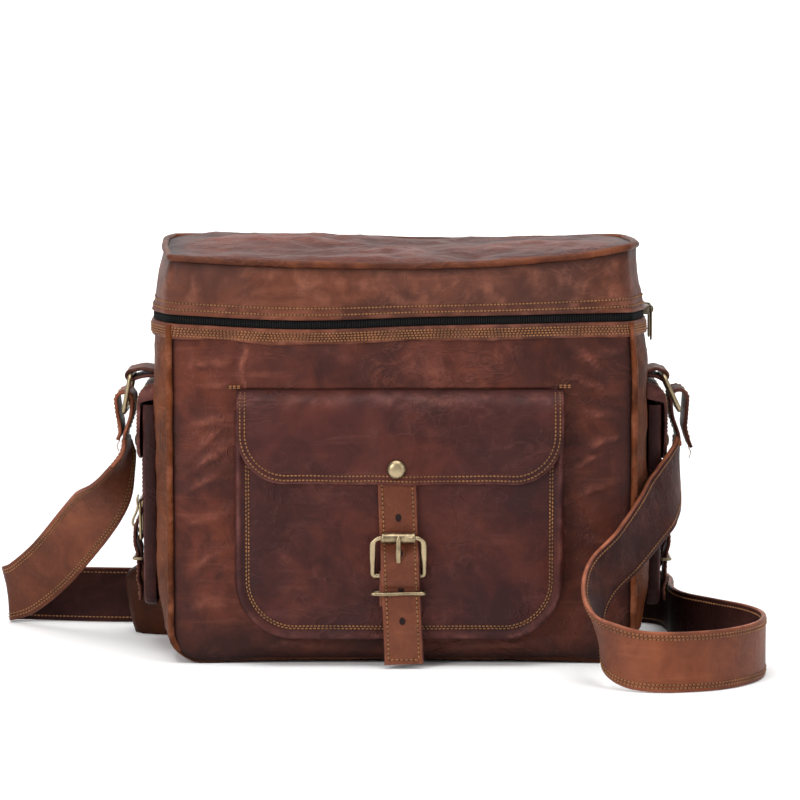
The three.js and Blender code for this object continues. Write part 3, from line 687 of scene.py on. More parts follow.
# ---------------------------------------------------------------- gusset and base, one strip round the bag
def gusset_strip():
    r, low = 19.0, 0.4
    # each entry is a point (x share, z) and the direction that faces out there
    line = [((1.0, z), (1.0, 0.0)) for z in np.linspace(TOP - 1, low + r, 64)]
    line += [((1.0, low + r - r * math.sin(a)), (math.cos(a), -math.sin(a)))
             for a in np.linspace(0, math.pi / 2, 13)[1:-1]]
    line += [((x, low), (0.0, -1.0)) for x in np.linspace(1, -1, 66)]
    line += [((-1.0, low + r - r * math.sin(a)), (-math.cos(a), -math.sin(a)))
             for a in np.linspace(math.pi / 2, 0, 13)[1:-1]]
    line += [((-1.0, z), (-1.0, 0.0)) for z in np.linspace(low + r, TOP - 1, 64)]
    ys = np.concatenate([[-75.6, -74.6, -72.5], np.linspace(-69, 69, 40), [72.5, 74.6, 75.6]])
    grid = np.zeros((len(line), len(ys), 3))
    reach = side_reach(ys)
    for i, ((lx, lz), (ox, oz)) in enumerate(line):
        flank = abs(ox)
        full = smooth(0, 60, lz)
        bulge = (reach - 149.5) * (0.45 + 0.55 * full)
        if abs(lx) == 1.0 and oz == 0.0:
            x = np.sign(lx) * (149.5 + bulge)
            z = np.full(len(ys), lz)
        elif abs(lx) == 1.0:
            b = (reach - 149.5) * 0.45
            x = np.sign(lx) * (149.5 + b - r + r * flank)
            z = np.full(len(ys), lz)
        else:
            b = (reach - 149.5) * 0.45
            x = lx * (149.5 + b - r)
            lift = 1.6 * (1 - lx ** 2) * (1 - 0.5 * np.abs(ys / 75) ** 2) + 2.2 * smooth(60, 76,
                np.abs(ys)) * (1 - lx ** 4)
            z = lz + lift
        grid[i] = np.stack([x, ys, z + 0 * ys], -1)
    n = normals_of(grid)
    if n[10, 20, 0] < 0:
        n = -n
    edge = 75.6 - np.abs(ys)[None, :]
    quiet = smooth(0, 8, edge)
    cloud = (wave(grid, 0.02, 9.0, 3) * 2.2 + wave(grid, 0.075, 3.0, 3) * 0.6) * quiet
    upright = smooth(4, 30, grid[..., 2])
    cloud *= 0.25 + 0.75 * upright
    # the base is crushed out at its rear left corner
    depth, up = grid[..., 1], grid[..., 2]
    swell = 30.0 * smooth(28, 44, depth) * smooth(76, 62, depth) * smooth(58, 42,
        up) * (grid[..., 0] < -120)
    outer = grid + n * (cloud + swell)[..., None]
    outer[..., 2] = np.maximum(outer[..., 2], 0.15)
    inner = grid - n * 3.0
    m = Mesh("gusset")
    wear = np.clip((wave(grid, 0.12, 6.0, 2) - 0.25) * 1.2, 0, 1) * quiet * 0.5
    # painted shade along both seams and over the crushed-out rear left corner
    painted_shade = 0.8 * np.exp(-edge / 1.6) + 0.75 * smooth(2, 14, swell)
    shell(m, outer, inner, "gusset", wear=wear, painted_shade=np.clip(painted_shade, 0, 0.85), flip=True)
    for side_y in (-1, 1):
        pick = int(np.argmin(np.abs(ys - side_y * 71)))
        row = outer[:, pick] + n[:, pick] * 0.1
        keep = (row[:, 2] > 12)
        for half in (row[:, 0] > 0, row[:, 0] < 0):
            where = keep & half
            stitches(m, row[where], n[:, pick][where], 3.2)
    return m


def outline_path(y):
    """The edge of a panel, from the right mouth down and round to the left mouth."""
    low, top, corner = 3.0, 221.5, 19.0
    h = HALF + 2.1
    pts = [(h, z) for z in np.linspace(top, low + corner, 40)]
    pts += [(h - corner + corner * math.cos(a), low + corner - corner
        * math.sin(a)) for a in np.linspace(0, math.pi / 2, 12)[1:-1]]
    pts += [(x, low) for x in np.linspace(h - corner, -h + corner, 44)]
    pts += [(-h + corner - corner * math.cos(a), low + corner - corner * math.sin(a))
            for a in np.linspace(math.pi / 2, 0, 12)[1:-1]]
    pts += [(-h, z) for z in np.linspace(low + corner, top, 40)]
    p = np.array([(x, y, z) for x, z in pts])
    lift = 1.6 * (1 - (p[:, 0] / h) ** 2) * (p[:, 2] < low + 1)
    p[:, 2] += lift
    return resample(p, 240)


def add_body():
    m = panel(-1)
    m.done("front_panel_skin", "root", ["front_panel"], "body_leather", warp=droop)
    m = panel(1)
    m.done("back_panel_skin", "root", ["back_panel"], "body_leather")
    gusset_strip().done("gusset_skin", "root", ["left_gusset", "right_gusset", "bottom_panel"],
        "gusset_leather",
                        warp=droop)
    for name, sign in (("front", -1), ("back", 1)):
        path = outline_path(sign * 76.9)
        path += np.stack([wave(path, 0.05, 1.0 + sign), wave(path, 0.05, 2.0), wave(path, 0.05, 3.0)],
            1) * 0.35
        path[:, 1] -= sign * 4.2 * smooth(17, 5, path[:, 2])
        path[:, 2] = np.maximum(path[:, 2], 2.3)
        m = Mesh("gusset")
        tube(m, path, 2.1 + 0.12 * wave(path, 0.2, 3.0), "gusset", around=12, up=(0, 1, 0), wear=0.0)
        # pale rubbed patches along the cord; the flange sewn between the panel and the gusset is not built
        m.wear[-1] = np.clip(wave(m.verts[-1], 0.09, 8.0, 2) * 1.4, 0, 0.55)
        m.done(f"{name}_piping_cord", "root", [f"{name}_piping"], "body_leather",
               warp=droop if sign < 0 else None)

    # the strip round the mouth, sewn with two rows
    loop = rim(0.9, 420)
    keep = loop[:, 1] < 57.5
    order = np.argsort(np.arctan2(loop[keep][:, 0], -loop[keep][:, 1]))
    line = loop[keep][order]
    t = np.gradient(line, axis=0)
    out = np.stack([t[:, 1], -t[:, 0], t[:, 0] * 0], 1)
    out /= np.linalg.norm(out, axis=1, keepdims=True)
    if out[len(out) // 2, 1] > 0:
        out = -out
    rows = [(212.6, 0.3), (213.0, 0.9), (214.0, 1.25), (216.5, 1.0), (219.2, 1.0), (221.2, 1.2),
        (222.0, 0.9), (222.4, 0.3)]
    outer = np.stack([np.stack([line[:, 0] + out[:, 0] * o, line[:, 1] + out[:, 1] * o, line[:, 2] + z], -1)
                      for z, o in rows])
    ripple = wave(outer, 0.06, 2.0, 2) * 0.5
    ripple[1:3] += wave(outer[1:3], 0.03, 5.0, 2) * 0.4
    outer += out[None] * ripple[..., None]
    outer[:3, :, 2] += (wave(line, 0.03, 7.0, 2) * 1.2)[None]
    inner = outer - out[None] * 1.5
    m = Mesh("lid")
    shell(m, outer, inner, "lid", wear=np.clip(wave(outer, 0.1, 6.0, 2), 0, 0.4), flip=True)
    for z, row, pitch in ((214.9, 3, 2.2), (216.5, 3, 2.31), (218.1, 3, 2.14), (219.7, 4, 2.25)):
        p = outer[row].copy()
        p[:, 2] = z
        stitches(m, p + out * 0.12, out, pitch, 0.45)
    m.done("mouth_binding_strip", "root", ["mouth_binding"], "body_leather", warp=droop)

    # the yoke, whose lower edge folds out over the pocket's flap
    x = np.linspace(-112, 109, 90)
    rows = [(212.8, 0.5), (209, 0.7), (203, 0.7), (196, 0.8), (189, 0.9), (184, 1.2), (181.4, 1.4),
        (180.0, 1.3), (179.2, 0.5)]
    fade = smooth(-112, -92, x) * smooth(109, 89, x)
    outer = np.stack([np.stack([x, -(FACE - 2.0 * (1 - fade) + (0.6 + o) * fade), z + 0 * x], -1) for z,
        o in rows])
    cloud, _ = relief(outer[..., 0], outer[..., 2], -1)
    calm = 1 - 0.55 * smooth(4, 7, np.arange(len(rows)))[:, None]
    outer[..., 1] -= np.where(cloud > 0, cloud * calm, cloud)
    outer[-3:, :, 2] += wave(outer[-3:], 0.02, 6.0, 2) * 0.6
    inner = outer.copy()
    inner[..., 1] = -(FACE - 0.8)
    m = Mesh("body")
    # painted shade under the fold's lower lip, where it overhangs the flap
    edge = np.zeros(outer.shape[:2])
    edge[-1] = 0.9
    edge[-2] = 0.3
    shell(m, outer, inner, "body", painted_shade=edge * 0.6, wear=np.clip(cloud * 0.3, 0, 0.4), flip=False)
    for cx in (-107.5, 104.5):
        bar = np.stack([np.linspace(cx - 4, cx + 4, 12), np.full(12, -(FACE + 3.1)), np.full(12, 180.3)], 1)
        stitches(m, bar, (0, -1, 0), 2.6, 0.5)
        stitches(m, bar + np.array([0, 0, 1.3]), (0, -1, 0), 2.6, 0.5)
    m.done("yoke_fold", "root", ["front_yoke"], "body_leather", warp=droop)


# ---------------------------------------------------------------- padded inside
def add_inside():
    boards = {
        "liner_floor": "root", "liner_front": "root", "liner_back": "root", "liner_left": "root",
            "liner_right": "root",
        "left_divider": "left_divider", "right_divider": "right_divider",
    }
    for i, (node, body) in enumerate(boards.items()):
        low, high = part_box(node)
        low, high = np.array(low) / MM, np.array(high) / MM
        m = Mesh("lining")
        pad(m, low + 0.5, high - 0.5, "lining", 3.4, 1.1, 9.0, i * 3.0)
        obj = m.done(f"{node}_pad", body, [node], "lining_fabric")
        weld(obj)
        # a sewn line inside the edge of each board's wide faces
        thin = int(np.argmin(high - low))
        u, v = [a for a in range(3) if a != thin]
        row = Mesh("thread")
        for end in (0, 1):
            p = np.zeros((160, 3))
            a = resample(np.array([(low[u] + 7, low[v] + 7, 0), (high[u] - 7, low[v] + 7, 0),
                                   (high[u] - 7, high[v] - 7, 0), (low[u] + 7, high[v] - 7, 0)]), 160, True)
            p[:, u], p[:, v] = a[:, 0], a[:, 1]
            p[:, thin] = high[thin] - 0.1 if end else low[thin] + 0.1
            normal = np.zeros(3)
            normal[thin] = 1 if end else -1
            stitches(row, p, normal, 6.5, 1.5, 0.4, 0.2, True)
        row.done(f"{node}_sewing", body, (), "lining_fabric")
    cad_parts["base_board"].data.materials.clear()
    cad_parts["base_board"].data.materials.append(MAT["board"])


# ---------------------------------------------------------------- lid
def lid_top(x, y):
    """Height of the lid's top: it sags in the middle of the front and lifts at the right."""
    a = np.clip(x / 150, -1, 1)
    front = 259.0 + 5.0 * np.clip(-a, 0, 1) ** 2 + 12.0 * np.clip(a, 0, 1) ** 2.2
    back = 269.5 - 3.5 * np.exp(-((x - 30) / 90) ** 2) - 1.0 * np.abs(a)
    v = smooth(-77.5, 77.5, y)
    return front + (back - front) * v


LID_TOP = [(0, 77.5), (-154, 77.5), (-158, 50), (-156, 0), (-148, -77), (-140, -77.5), (128, -77.5),
    (144.5, -69), (151.5, -45),
           (152.5, 20), (150, 77.5)]


def lid_loop(offset, count=300):
    """The lid's top outline: square at its front left corner, round at its front right."""
    grown = [(x * (1 + offset / 150), y * (1 + offset / FACE)) for x, y in LID_TOP]
    return soften(grown, count, 4.5)


def add_lid():
    n = 300
    foot, head = rim(1.6, n), lid_loop(0.6, n)

    def outward(line):
        t = np.roll(line, -1, 0) - np.roll(line, 1, 0)
        out = np.stack([t[:, 1], -t[:, 0], 0 * t[:, 0]], 1)
        out /= np.linalg.norm(out, axis=1, keepdims=True)
        return out if out[0, 1] > 0 else -out
    out = outward(foot)
    top = lid_top(head[:, 0], head[:, 1]) - 2.0
    low = droop(np.stack([foot[:, 0], foot[:, 1], np.full(n, 228.2)], 1))
    shares = [0, 0.012, 0.05, 0.1, 0.16, 0.22, 0.3, 0.4, 0.5, 0.6, 0.7, 0.8, 0.88, 0.94, 0.98, 1.0]
    swell = [0.2, 0.9, 1.2, 0.9, 0.7, 0.9, 1.3, 1.8, 2.0, 1.9, 1.6, 1.2, 0.8, 0.4, 0.0, -0.6]
    outer = []
    for s, o in zip(shares, swell):
        lean = s ** 0.8
        tucked = 1 - 1.9 * smooth(110, 148, head[:, :1]) * (0.04 < s < 0.97)
        xy = low[:, :2] * (1 - lean) + head[:, :2] * lean + out[:, :2] * o * tucked
        z = low[:, 2] + (top - low[:, 2]) * s
        outer.append(np.stack([xy[:, 0], xy[:, 1], z], 1))
    outer = np.array(outer)
    cloud = wave(outer, 0.022, 6.0, 3) * 1.5 + wave(outer, 0.09, 2.0, 3) * 0.4
    weight = np.array([0.3, 0.4, 0.5, 0.5, 0.6, 0.7, 1, 1, 1, 1, 1, 1, 0.8, 0.5, 0.3, 0.1])[:, None]
    outer += out[None] * (cloud * weight)[..., None]
    inner = outer - out[None] * 2.4
    m = Mesh("lid")
    wear = np.clip(wave(outer, 0.1, 1.0, 3) * 1.3 - 0.1, 0, 0.6) * 0.6
    # painted shade along the band's top, under the piping
    tuck = np.zeros(outer.shape[:2])
    tuck[-4:] = np.array([0.25, 0.6, 0.85, 0.9])[:, None]
    shell(m, outer, inner, "lid", around=True, wear=wear, painted_shade=tuck)
    for idx in (3, 5):
        stitches(m, outer[idx] + out * 0.15, out, 2.3, 0.5, closed=True)
    m.done("lid_band_skin", "lid", ["lid_band"], "gusset_leather", sharp=60)

    # the top: rings drawn in to the middle
    rings = 34
    edge = lid_loop(-0.4, n)
    centre = np.array([0.0, 0.0, 0.0])
    outer = []
    for k in range(rings):
        r = 1 - (k / (rings - 1)) ** 0.9
        p = centre + (edge - centre) * r
        z = lid_top(p[:, 0], p[:, 1])
        dome = 4.2 * (1 - r ** 9) - 1.2
        outer.append(np.stack([p[:, 0], p[:, 1], z + dome], 1))
    outer = np.array(outer)
    inside = smooth(0, 6, np.arange(rings))[:, None]
    cloud = wave(outer, 0.017, 8.0, 3) * 3.2 + wave(outer, 0.06, 1.0, 3) * 0.9
    outer[..., 2] += cloud * inside
    inner = outer - np.array([0, 0, 2.6])
    m = Mesh("body")
    # painted shade on the outermost ring, next to the piping
    shell(m, outer, inner, "body", around=True, meets=True, wear=np.clip(cloud * 0.22, 0, 0.5) * inside,
          painted_shade=(1 - smooth(0, 2.0, np.arange(rings)))[:, None] * np.ones((1, n)))
    obj = m.done("lid_top_skin", "lid", ["lid_top"], "body_leather", sharp=60)
    weld(obj)

    # piping along the top edge
    path = lid_loop(0.5, 360)
    path[:, 2] = lid_top(path[:, 0], path[:, 1]) - 0.9
    path[:, 2] += wave(path, 0.05, 3.0, 2) * 0.4
    m = Mesh("piping")
    tube(m, path, 2.3 + 0.2 * wave(path, 0.12, 9.0), "piping", closed=True, around=12)
    m.done("lid_piping_cord", "lid", ["lid_piping"], "body_leather", sharp=70)

    # padding under the top
    outer, inner = [], []
    edge = lid_loop(-5.5, 220)
    for k in range(16):
        r = 1 - k / 15
        p = edge * r
        z = lid_top(p[:, 0], p[:, 1]) - 5.0
        bump = 1.4 * math.sin(math.pi * min(1, (1 - r) * 3.0) / 2)
        flat = np.array([p[:, 0], p[:, 1], z + bump - 1.2]).T
        under = np.array([p[:, 0], p[:, 1], z - 4.0 - bump * 1.4 + 0.5 * wave(p, 0.03, 4.0, 2) * min(1,
            k / 3)]).T
        outer.append(flat)
        inner.append(under)
    m = Mesh("lining")
    shell(m, np.array(outer), np.array(inner), "lining", around=True, meets=True)
    obj = m.done("lid_padding", "lid", ["lid_pad"], "lining_fabric", sharp=70)
    weld(obj)
    row = Mesh("thread")
    ring = edge * np.array([0.95, 0.90, 1])
    z = lid_top(ring[:, 0], ring[:, 1]) - 5.0 - 4.0 - 1.4
    ring = np.stack([ring[:, 0], ring[:, 1], z - 0.6], 1)
    stitches(row, ring, (0, 0, -1), 6.0, 1.4, 0.4, 0.2, True)
    row.done("lid_padding_sewing", "lid", (), "lining_fabric")

    # the leather that joins the lid to the back
    zs = np.linspace(210, 240, 26)
    x = np.linspace(-138, 138, 80)
    grid = np.stack([np.repeat(x[None], len(zs), 0), np.zeros((len(zs), len(x))),
        np.repeat(zs[:, None], len(x), 1)], -1)
    puff = 2.0 * np.exp(-((zs - 225) / 4.0) ** 2)[:, None] + 0.5 * smooth(0, 1, 0) + wave(grid, 0.06, 2.0,
        2) * 0.4
    ends = smooth(0, 0.2, np.minimum(zs - 210, 240 - zs) / 10)[:, None]
    outer = grid.copy()
    outer[..., 1] = 79.6 + 1.4 * ends + puff
    inner = grid.copy()
    inner[..., 1] = 78.9 + 0.3 * ends
    m = Mesh("body")
    shell(m, outer, inner, "body", wear=np.clip(puff * 0.25, 0, 0.6))
    for z in (213.5, 217.0, 233.0, 236.6):
        i = int(np.argmin(np.abs(zs - z)))
        p = outer[i].copy()
        p[:, 2] = z
        stitches(m, p + np.array([0, 0.1, 0]), (0, 1, 0), 3.6)
    obj = m.done("lid_hinge_leather", None, ["lid_hinge_strip"], "body_leather")
    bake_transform(obj)


# ---------------------------------------------------------------- zip
def add_zip():
    for half, body, z0, z1, tooth, sign in (("lower", "root", 219.5, 225.0, 224.35, 1),
        ("upper", "lid", 225.2, 231.0, 225.85, -1)):
        loop = rim(-0.9, 460)
        keep = loop[:, 1] < 60
        line = loop[keep]
        line = line[np.argsort(np.arctan2(line[:, 0], -line[:, 1]))]
        t = np.gradient(line, axis=0)
        out = np.stack([-t[:, 1], t[:, 0], 0 * t[:, 0]], 1)
        out /= np.linalg.norm(out, axis=1, keepdims=True)
        if out[len(out) // 2, 1] > 0:
            out = -out
        rows = [(z0, 0.0), (z0 * 0.6 + z1 * 0.4, 0.35), (z0 * 0.2 + z1 * 0.8, 0.1), (z1, 0.45)]
        if sign < 0:
            rows = [(z0, 0.45), (z0 * 0.8 + z1 * 0.2, 0.1), (z0 * 0.4 + z1 * 0.6, 0.35), (z1, 0.0)]
        outer = np.array([np.stack([line[:, 0] + out[:, 0] * o, line[:, 1] + out[:, 1] * o,
            0 * line[:, 0] + z], 1)
                          for z, o in rows])
        m = Mesh("tape")
        shell(m, outer, outer - out[None] * 0.9, "tape", flip=True)
        # the coil: one bent wire turn per tooth
        length = np.linalg.norm(np.diff(line, axis=0), axis=1).sum()
        spots = resample(line, int(length / 1.5))
        tt = np.gradient(spots, axis=0)
        tt /= np.linalg.norm(tt, axis=1, keepdims=True)
        oo = np.stack([-tt[:, 1], tt[:, 0], 0 * tt[:, 0]], 1)
        if oo[len(oo) // 2, 1] > 0:
            oo = -oo
        verts, faces = [], []
        for p, a, o in zip(spots, tt, oo):
            b = len(verts)
            for ring, (h, r) in enumerate(((-1.5 * sign, 0.30), (-0.6 * sign, 0.55), (0.5 * sign, 0.62),
                (0.95 * sign, 0.25))):
                for k in range(4):
                    c = math.pi / 2 * k
                    verts.append((p[0] + o[0] * (1.0 + 0.9 * r * math.cos(c)) + a[0] * math.sin(c) * r,
                                  p[1] + o[1] * (1.0 + 0.9 * r * math.cos(c)) + a[1] * math.sin(c) * r,
                                  tooth + h))
            for r in range(3):
                for k in range(4):
                    q = (k + 1) % 4
                    faces.append((b + r * 4 + k, b + r * 4 + q, b + r * 4 + 4 + q, b + r * 4 + 4 + k))
            faces.append((b + 3, b + 2, b + 1, b))
            faces.append((b + 12, b + 13, b + 14, b + 15))
        if sign < 0:
            faces = [f[::-1] for f in faces]
        m.put(verts, faces, "teeth")
        m.done(f"{half}_zip_tape", body, [f"{half}_zip_half"], "zip_tape", warp=droop)


# ---------------------------------------------------------------- buckled pockets
def tongue(left, right, low, top, corner):
    """A U: down the left side, round the bottom corners and up the right side. Returns x, z."""
    corner = max(corner, 0.5)
    pts = [(left, z) for z in np.linspace(top, low + corner, 40)]
    pts += [(left + corner - corner * math.cos(a), low + corner - corner * math.sin(a))
            for a in np.linspace(0, math.pi / 2, 26)[1:]]
    pts += [(x, low) for x in np.linspace(left + corner, right - corner, 40)[1:]]
    pts += [(right - corner + corner * math.cos(a), low + corner - corner * math.sin(a))
            for a in np.linspace(math.pi / 2, 0, 26)[1:]]
    pts += [(right, z) for z in np.linspace(low + corner, top, 40)[1:]]
    return np.array(pts)


def nested(spec, steps, last, spine_low, fill=14):
    """Nested U outlines. steps are (inset, height); the inside closes on a vertical line."""
    left, right, low, top, corner = spec
    rings, heights, insets = [], [], []
    for inset, high in steps:
        rings.append(tongue(left + inset, right - inset, low + inset, top, corner - inset))
        heights.append(high)
        insets.append(inset)
    edge = rings[-1]
    n = len(edge)
    mid = (left + right) / 2
    t = np.abs(np.linspace(-1, 1, n))
    spine = np.stack([np.full(n, mid), spine_low + (top - spine_low) * t], 1)
    for k in range(1, fill + 1):
        a = k / fill
        rings.append(edge * (1 - a) + spine * a)
        heights.append(heights[len(steps) - 1] * (1 - a) + last * a)
        insets.append(insets[len(steps) - 1] + a * (right - left) / 2)
    return np.array(rings), np.array(heights), np.array(insets)


POCKETS = {
    "front": dict(face=77.5, hinge=80.1, left=-107, right=103.5, low=18, top=165, corner=38, depth=13,
        flap=(-106, 103.5, 119, 178.9, 32),
                  thick=2.5, strap=dict(x=-3.5, half=12.6, thick=2.8, top=150, tail=3, lean=0.0384),
                  rivet=(129, 6.1, 3.4), buckle=dict(x=-2.4, low=60.2, high=84.9, half=14.4, side=4,
                  bar=3.2, tip=3.3, roller=3.5),
                  chape=dict(half=12, back=1.4, front=1.6, low=40), keeper=(49.2, 15.6, 2.4), seed=3.0,
                  holes=(97.7, 74.4, 52.4, 31.0)),
    "left": dict(face=161, hinge=161.3, left=-36, right=36, low=31, top=164, corner=12, depth=8.5,
    flap=(-36, 36, 127, 178.9, 18),
                 thick=2.0, strap=dict(x=0, half=10, thick=2, top=152, tail=31, lean=0.0),
                 rivet=(137, 5, 2.8), buckle=dict(x=0, low=72.5, high=97, half=11.5, side=3.2, bar=2.4,
                 tip=2.2, roller=0),
                 chape=dict(half=9, back=1.2, front=1.2, low=50), keeper=(59, 11.8, 2.0), seed=8.0,
                 holes=(108, 86, 64, 44)),
}
POCKETS["right"] = dict(POCKETS["left"], seed=14.0)


def add_pocket(name, s):
    turn = TURN[name]
    face, depth, wall = s["face"], s["depth"], 2.2
    seed = s["seed"]
    box = (s["left"], s["right"], s["low"], s["top"], s["corner"])
    big = name == "front"
    k = depth / 13.0
    # the pocket: a side wall, a raised welt, a sewn valley and a soft face
    steps = [(0, 0.4), (-0.4, 3 * k), (-0.5, 6.5 * k), (-0.2, 9.5 * k), (0.5, 11.6 * k), (1.6, 12.9 * k),
        (2.8, 13.1 * k),
             (4.0, 12.4 * k), (5.2, 11.5 * k), (7.0, 11.2 * k), (8.6, 11.5 * k), (11, 12.2 * k),
             (15, 12.6 * k), (20, 12.9 * k)]
    if not big:
        steps = steps[:12]
    rings, high, inset = nested(box, steps, depth * 0.99, s["low"] + (s["corner"] + 20 if big else 30),
        22 if big else 14)
    x, z = rings[..., 0], rings[..., 1]
    h = np.repeat(high[:, None], x.shape[1], 1)
    base = np.stack([x, 0 * x, z], -1)
    soft = smooth(4, 12, inset)[:, None]
    h = h + (wave(base, 0.018, seed, 3) * 1.5 + wave(base, 0.07, seed + 4,
        3) * 0.35) * soft * (1.0 if big else 0.6)
    edge_wave = wave(base, 0.03, seed + 2, 2) * 0.7 * (1 - soft)
    # the panel behind the side pockets curves away from its middle
    if big:
        behind = np.zeros_like(x)
    else:
        behind = np.clip(side_reach(x) - 161, -11, 0) * np.clip(1 - h / (depth * 1.3), 0, 1)
    outer = np.stack([x, -(face + h + behind), z + edge_wave * 0.4], -1)
    steps_in = [(i + wall, max(0.5, hh - wall)) for i, hh in steps]
    rings_in, high_in, _ = nested(box, steps_in, depth - wall,
        s["low"] + (s["corner"] + 20 if big else 30), 22 if big else 14)
    hi = np.minimum(np.repeat(high_in[:, None], x.shape[1], 1), np.maximum(h - wall * 0.7, 0.3))
    inner = np.stack([rings_in[..., 0], -(face + hi), rings_in[..., 1]], -1)
    m = Mesh("pocket")
    welt = np.exp(-((inset[:, None] - 1.8) / 1.3) ** 2) * np.clip(0.35 + wave(base, 0.06, seed, 3), 0, 0.8)
    # painted shade in the sewn valley; on the side pockets also painted shade on the low side wall
    valley = np.exp(-((inset[:, None] - 7.0) / 1.4) ** 2) * 0.25
    shade = valley if big else np.clip(valley + 0.6 * smooth(8.6, 6.8, h), 0, 0.7)
    shell(m, outer, inner, "pocket", wear=welt, painted_shade=shade, flip=True, meets=True)
    row = int(np.argmin(np.abs(np.array([i for i, _ in steps]) - 7.0)))
    line = outer[row].copy()
    stitches(m, resample(line, 300) + np.array([0, -0.1, 0]), (0, -1, 0), 2.6, 0.6)
    if big:
        line = outer[row] + (outer[row + 1] - outer[row]) * min(1.0,
            1.8 / (steps[row + 1][0] - steps[row][0]))
        stitches(m, resample(line, 300) + np.array([0, -0.1, 0]), (0, -1, 0), 2.45, 0.6)
    obj = m.done(f"{name}_pocket_skin", "root", [f"{name}_pocket"], "pocket_leather", turn, 60)
    weld(obj, 0.01)

    # the flap: folds out from its seam and lies on the pocket
    left, right, low, top, corner = s["flap"]
    thick = s["thick"]
    st = s["strap"]
    strap_in = face + depth + 0.3
    flap_in = strap_in + st["thick"] + 0.3
    steps = [(0.0, -0.9), (0.5, -0.25), (1.3, 0.0), (2.4, 0.02), (3.6, -0.12), (5.4, 0.05), (7.4, -0.12),
        (9.4, 0.05), (13, 0.1),
             (18, 0.15), (25, 0.15) if big else (18.5, 0.15)]
    if not big:
        steps = steps[:9]
    rings, high, inset = nested((left, right, low, top, corner), steps, 0.2, low + (30 if big else 20),
        26 if big else 14)
    x, z = rings[..., 0], rings[..., 1]
    base = np.stack([x, 0 * x, z], -1)
    fall = 1 - np.exp(-np.clip(top - z, 0, None) / (5.5 if big else 4.0))
    centre = st["x"] + st["lean"] * (s["rivet"][0] - z)
    over = 1 / (1 + np.exp((np.abs(x - centre) - st["half"] - 1.6) / 0.9)) * smooth(st["top"] + 16,
        st["top"] - 4, z)
    reach_low = (flap_in - st["thick"] - 0.2 if big else flap_in - 0.9)
    under = reach_low + (flap_in - reach_low) * over - s["hinge"]
    cloud = (wave(base, 0.02, seed + 9, 3) * 1.1 + wave(base, 0.08, seed + 1, 3) * 0.3) * smooth(0, 10,
        inset)[:, None]
    cloud = np.maximum(cloud, -0.25) * smooth(0, 10, top - z)
    curl = 0.8 * np.exp(-inset / 3.0)[:, None] * smooth(0, 1, wave(base, 0.02, seed + 5, 2) + 0.4)
    inner_d = s["hinge"] - thick * (1 - fall) + under * fall + cloud + curl * fall
    outer_d = inner_d + thick + high[:, None]
    if not big:
        round_ = np.clip(side_reach(x) - 161, -11, 0) * (1 - fall) * 0.8
        inner_d = inner_d + round_
        outer_d = outer_d + round_
        # its padded roll fills the space above the pocket, back to the gusset
        roll = smooth(165.2, 168.5, z)
        inner_d = inner_d * (1 - roll) + (160.2 + round_) * roll
    hang = wave(base, 0.02, seed + 3, 2) * 0.8 * smooth(0, 20, top - z)
    outer = np.stack([x, -outer_d, z + hang], -1)
    inner = np.stack([x, -np.minimum(inner_d, outer_d - 0.7), z + hang], -1)
    m = Mesh("pocket")
    edge = np.exp(-inset / 1.2)[:, None] * np.clip(0.45 + wave(base, 0.07, seed, 3), 0, 1)
    crown = np.exp(-((top - z - 6) / 5) ** 2) * np.clip(wave(base, 0.09, 4, 3) + 0.2, 0, 0.5)
    # painted shade along the flap's top, where it comes out of its seam
    shell(m, outer, inner, "pocket", wear=np.clip(edge + crown, 0, 1), flip=True, inner_mat="inner",
        meets=True,
          painted_shade=np.exp(-(top - z) / 1.5) * 0.8)
    for want in (2.4, 5.8):
        row = int(np.argmin(np.abs(np.array([i for i, _ in steps]) - want)))
        line = outer[row] + np.array([0, -0.1, 0])
        line = line[line[:, 2] < top - 1.4]
        stitches(m, resample(line, 300), (0, -1, 0), 2.45, 0.55)
    obj = m.done(f"{name}_flap_skin", f"{name}_flap", [f"{name}_flap"], "pocket_leather", turn, 60)
    weld(obj, 0.01)

    # the rivet: a low dome with a turned edge
    rz, rr, rh = s["rivet"]
    flap_out = flap_in + thick
    prof = [(0.0, rh), (rr * 0.25, rh * 0.985), (rr * 0.5, rh * 0.92), (rr * 0.7, rh * 0.8),
        (rr * 0.85, rh * 0.62), (rr * 0.95, rh * 0.4),
            (rr, rh * 0.2), (rr * 1.0, 0.05), (rr * 0.93, -0.1), (1.6, -0.1), (1.6, -5.2), (0.0, -5.2)]
    m = Mesh("brass")
    lathe(m, prof, (st["x"] if big else 0, -(flap_out + 0.35), rz), "brass", 40, wear_from=rh * 0.7)
    m.done(f"{name}_rivet_cap", f"{name}_flap", [f"{name}_rivet"], "antique_brass", turn, 45)

    add_buckle(name, s, turn, strap_in)


def lathe(mesh, profile, centre, mat, around=32, wear_from=None):
    """A profile of (radius, out towards -Y) turned about the -Y axis."""
    verts, faces, wear = [], [], []
    for r, d in profile:
        for k in range(around):
            a = 2 * math.pi * k / around
            verts.append((centre[0] + r * math.cos(a), centre[1] - d, centre[2] + r * math.sin(a)))
            wear.append(0.5 if wear_from is not None and d > wear_from else 0.0)
    for i in range(len(profile) - 1):
        for k in range(around):
            q = (k + 1) % around
            faces.append((i * around + k, i * around + q, (i + 1) * around + q, (i + 1) * around + k))
    mesh.put(verts, faces, mat, wear)


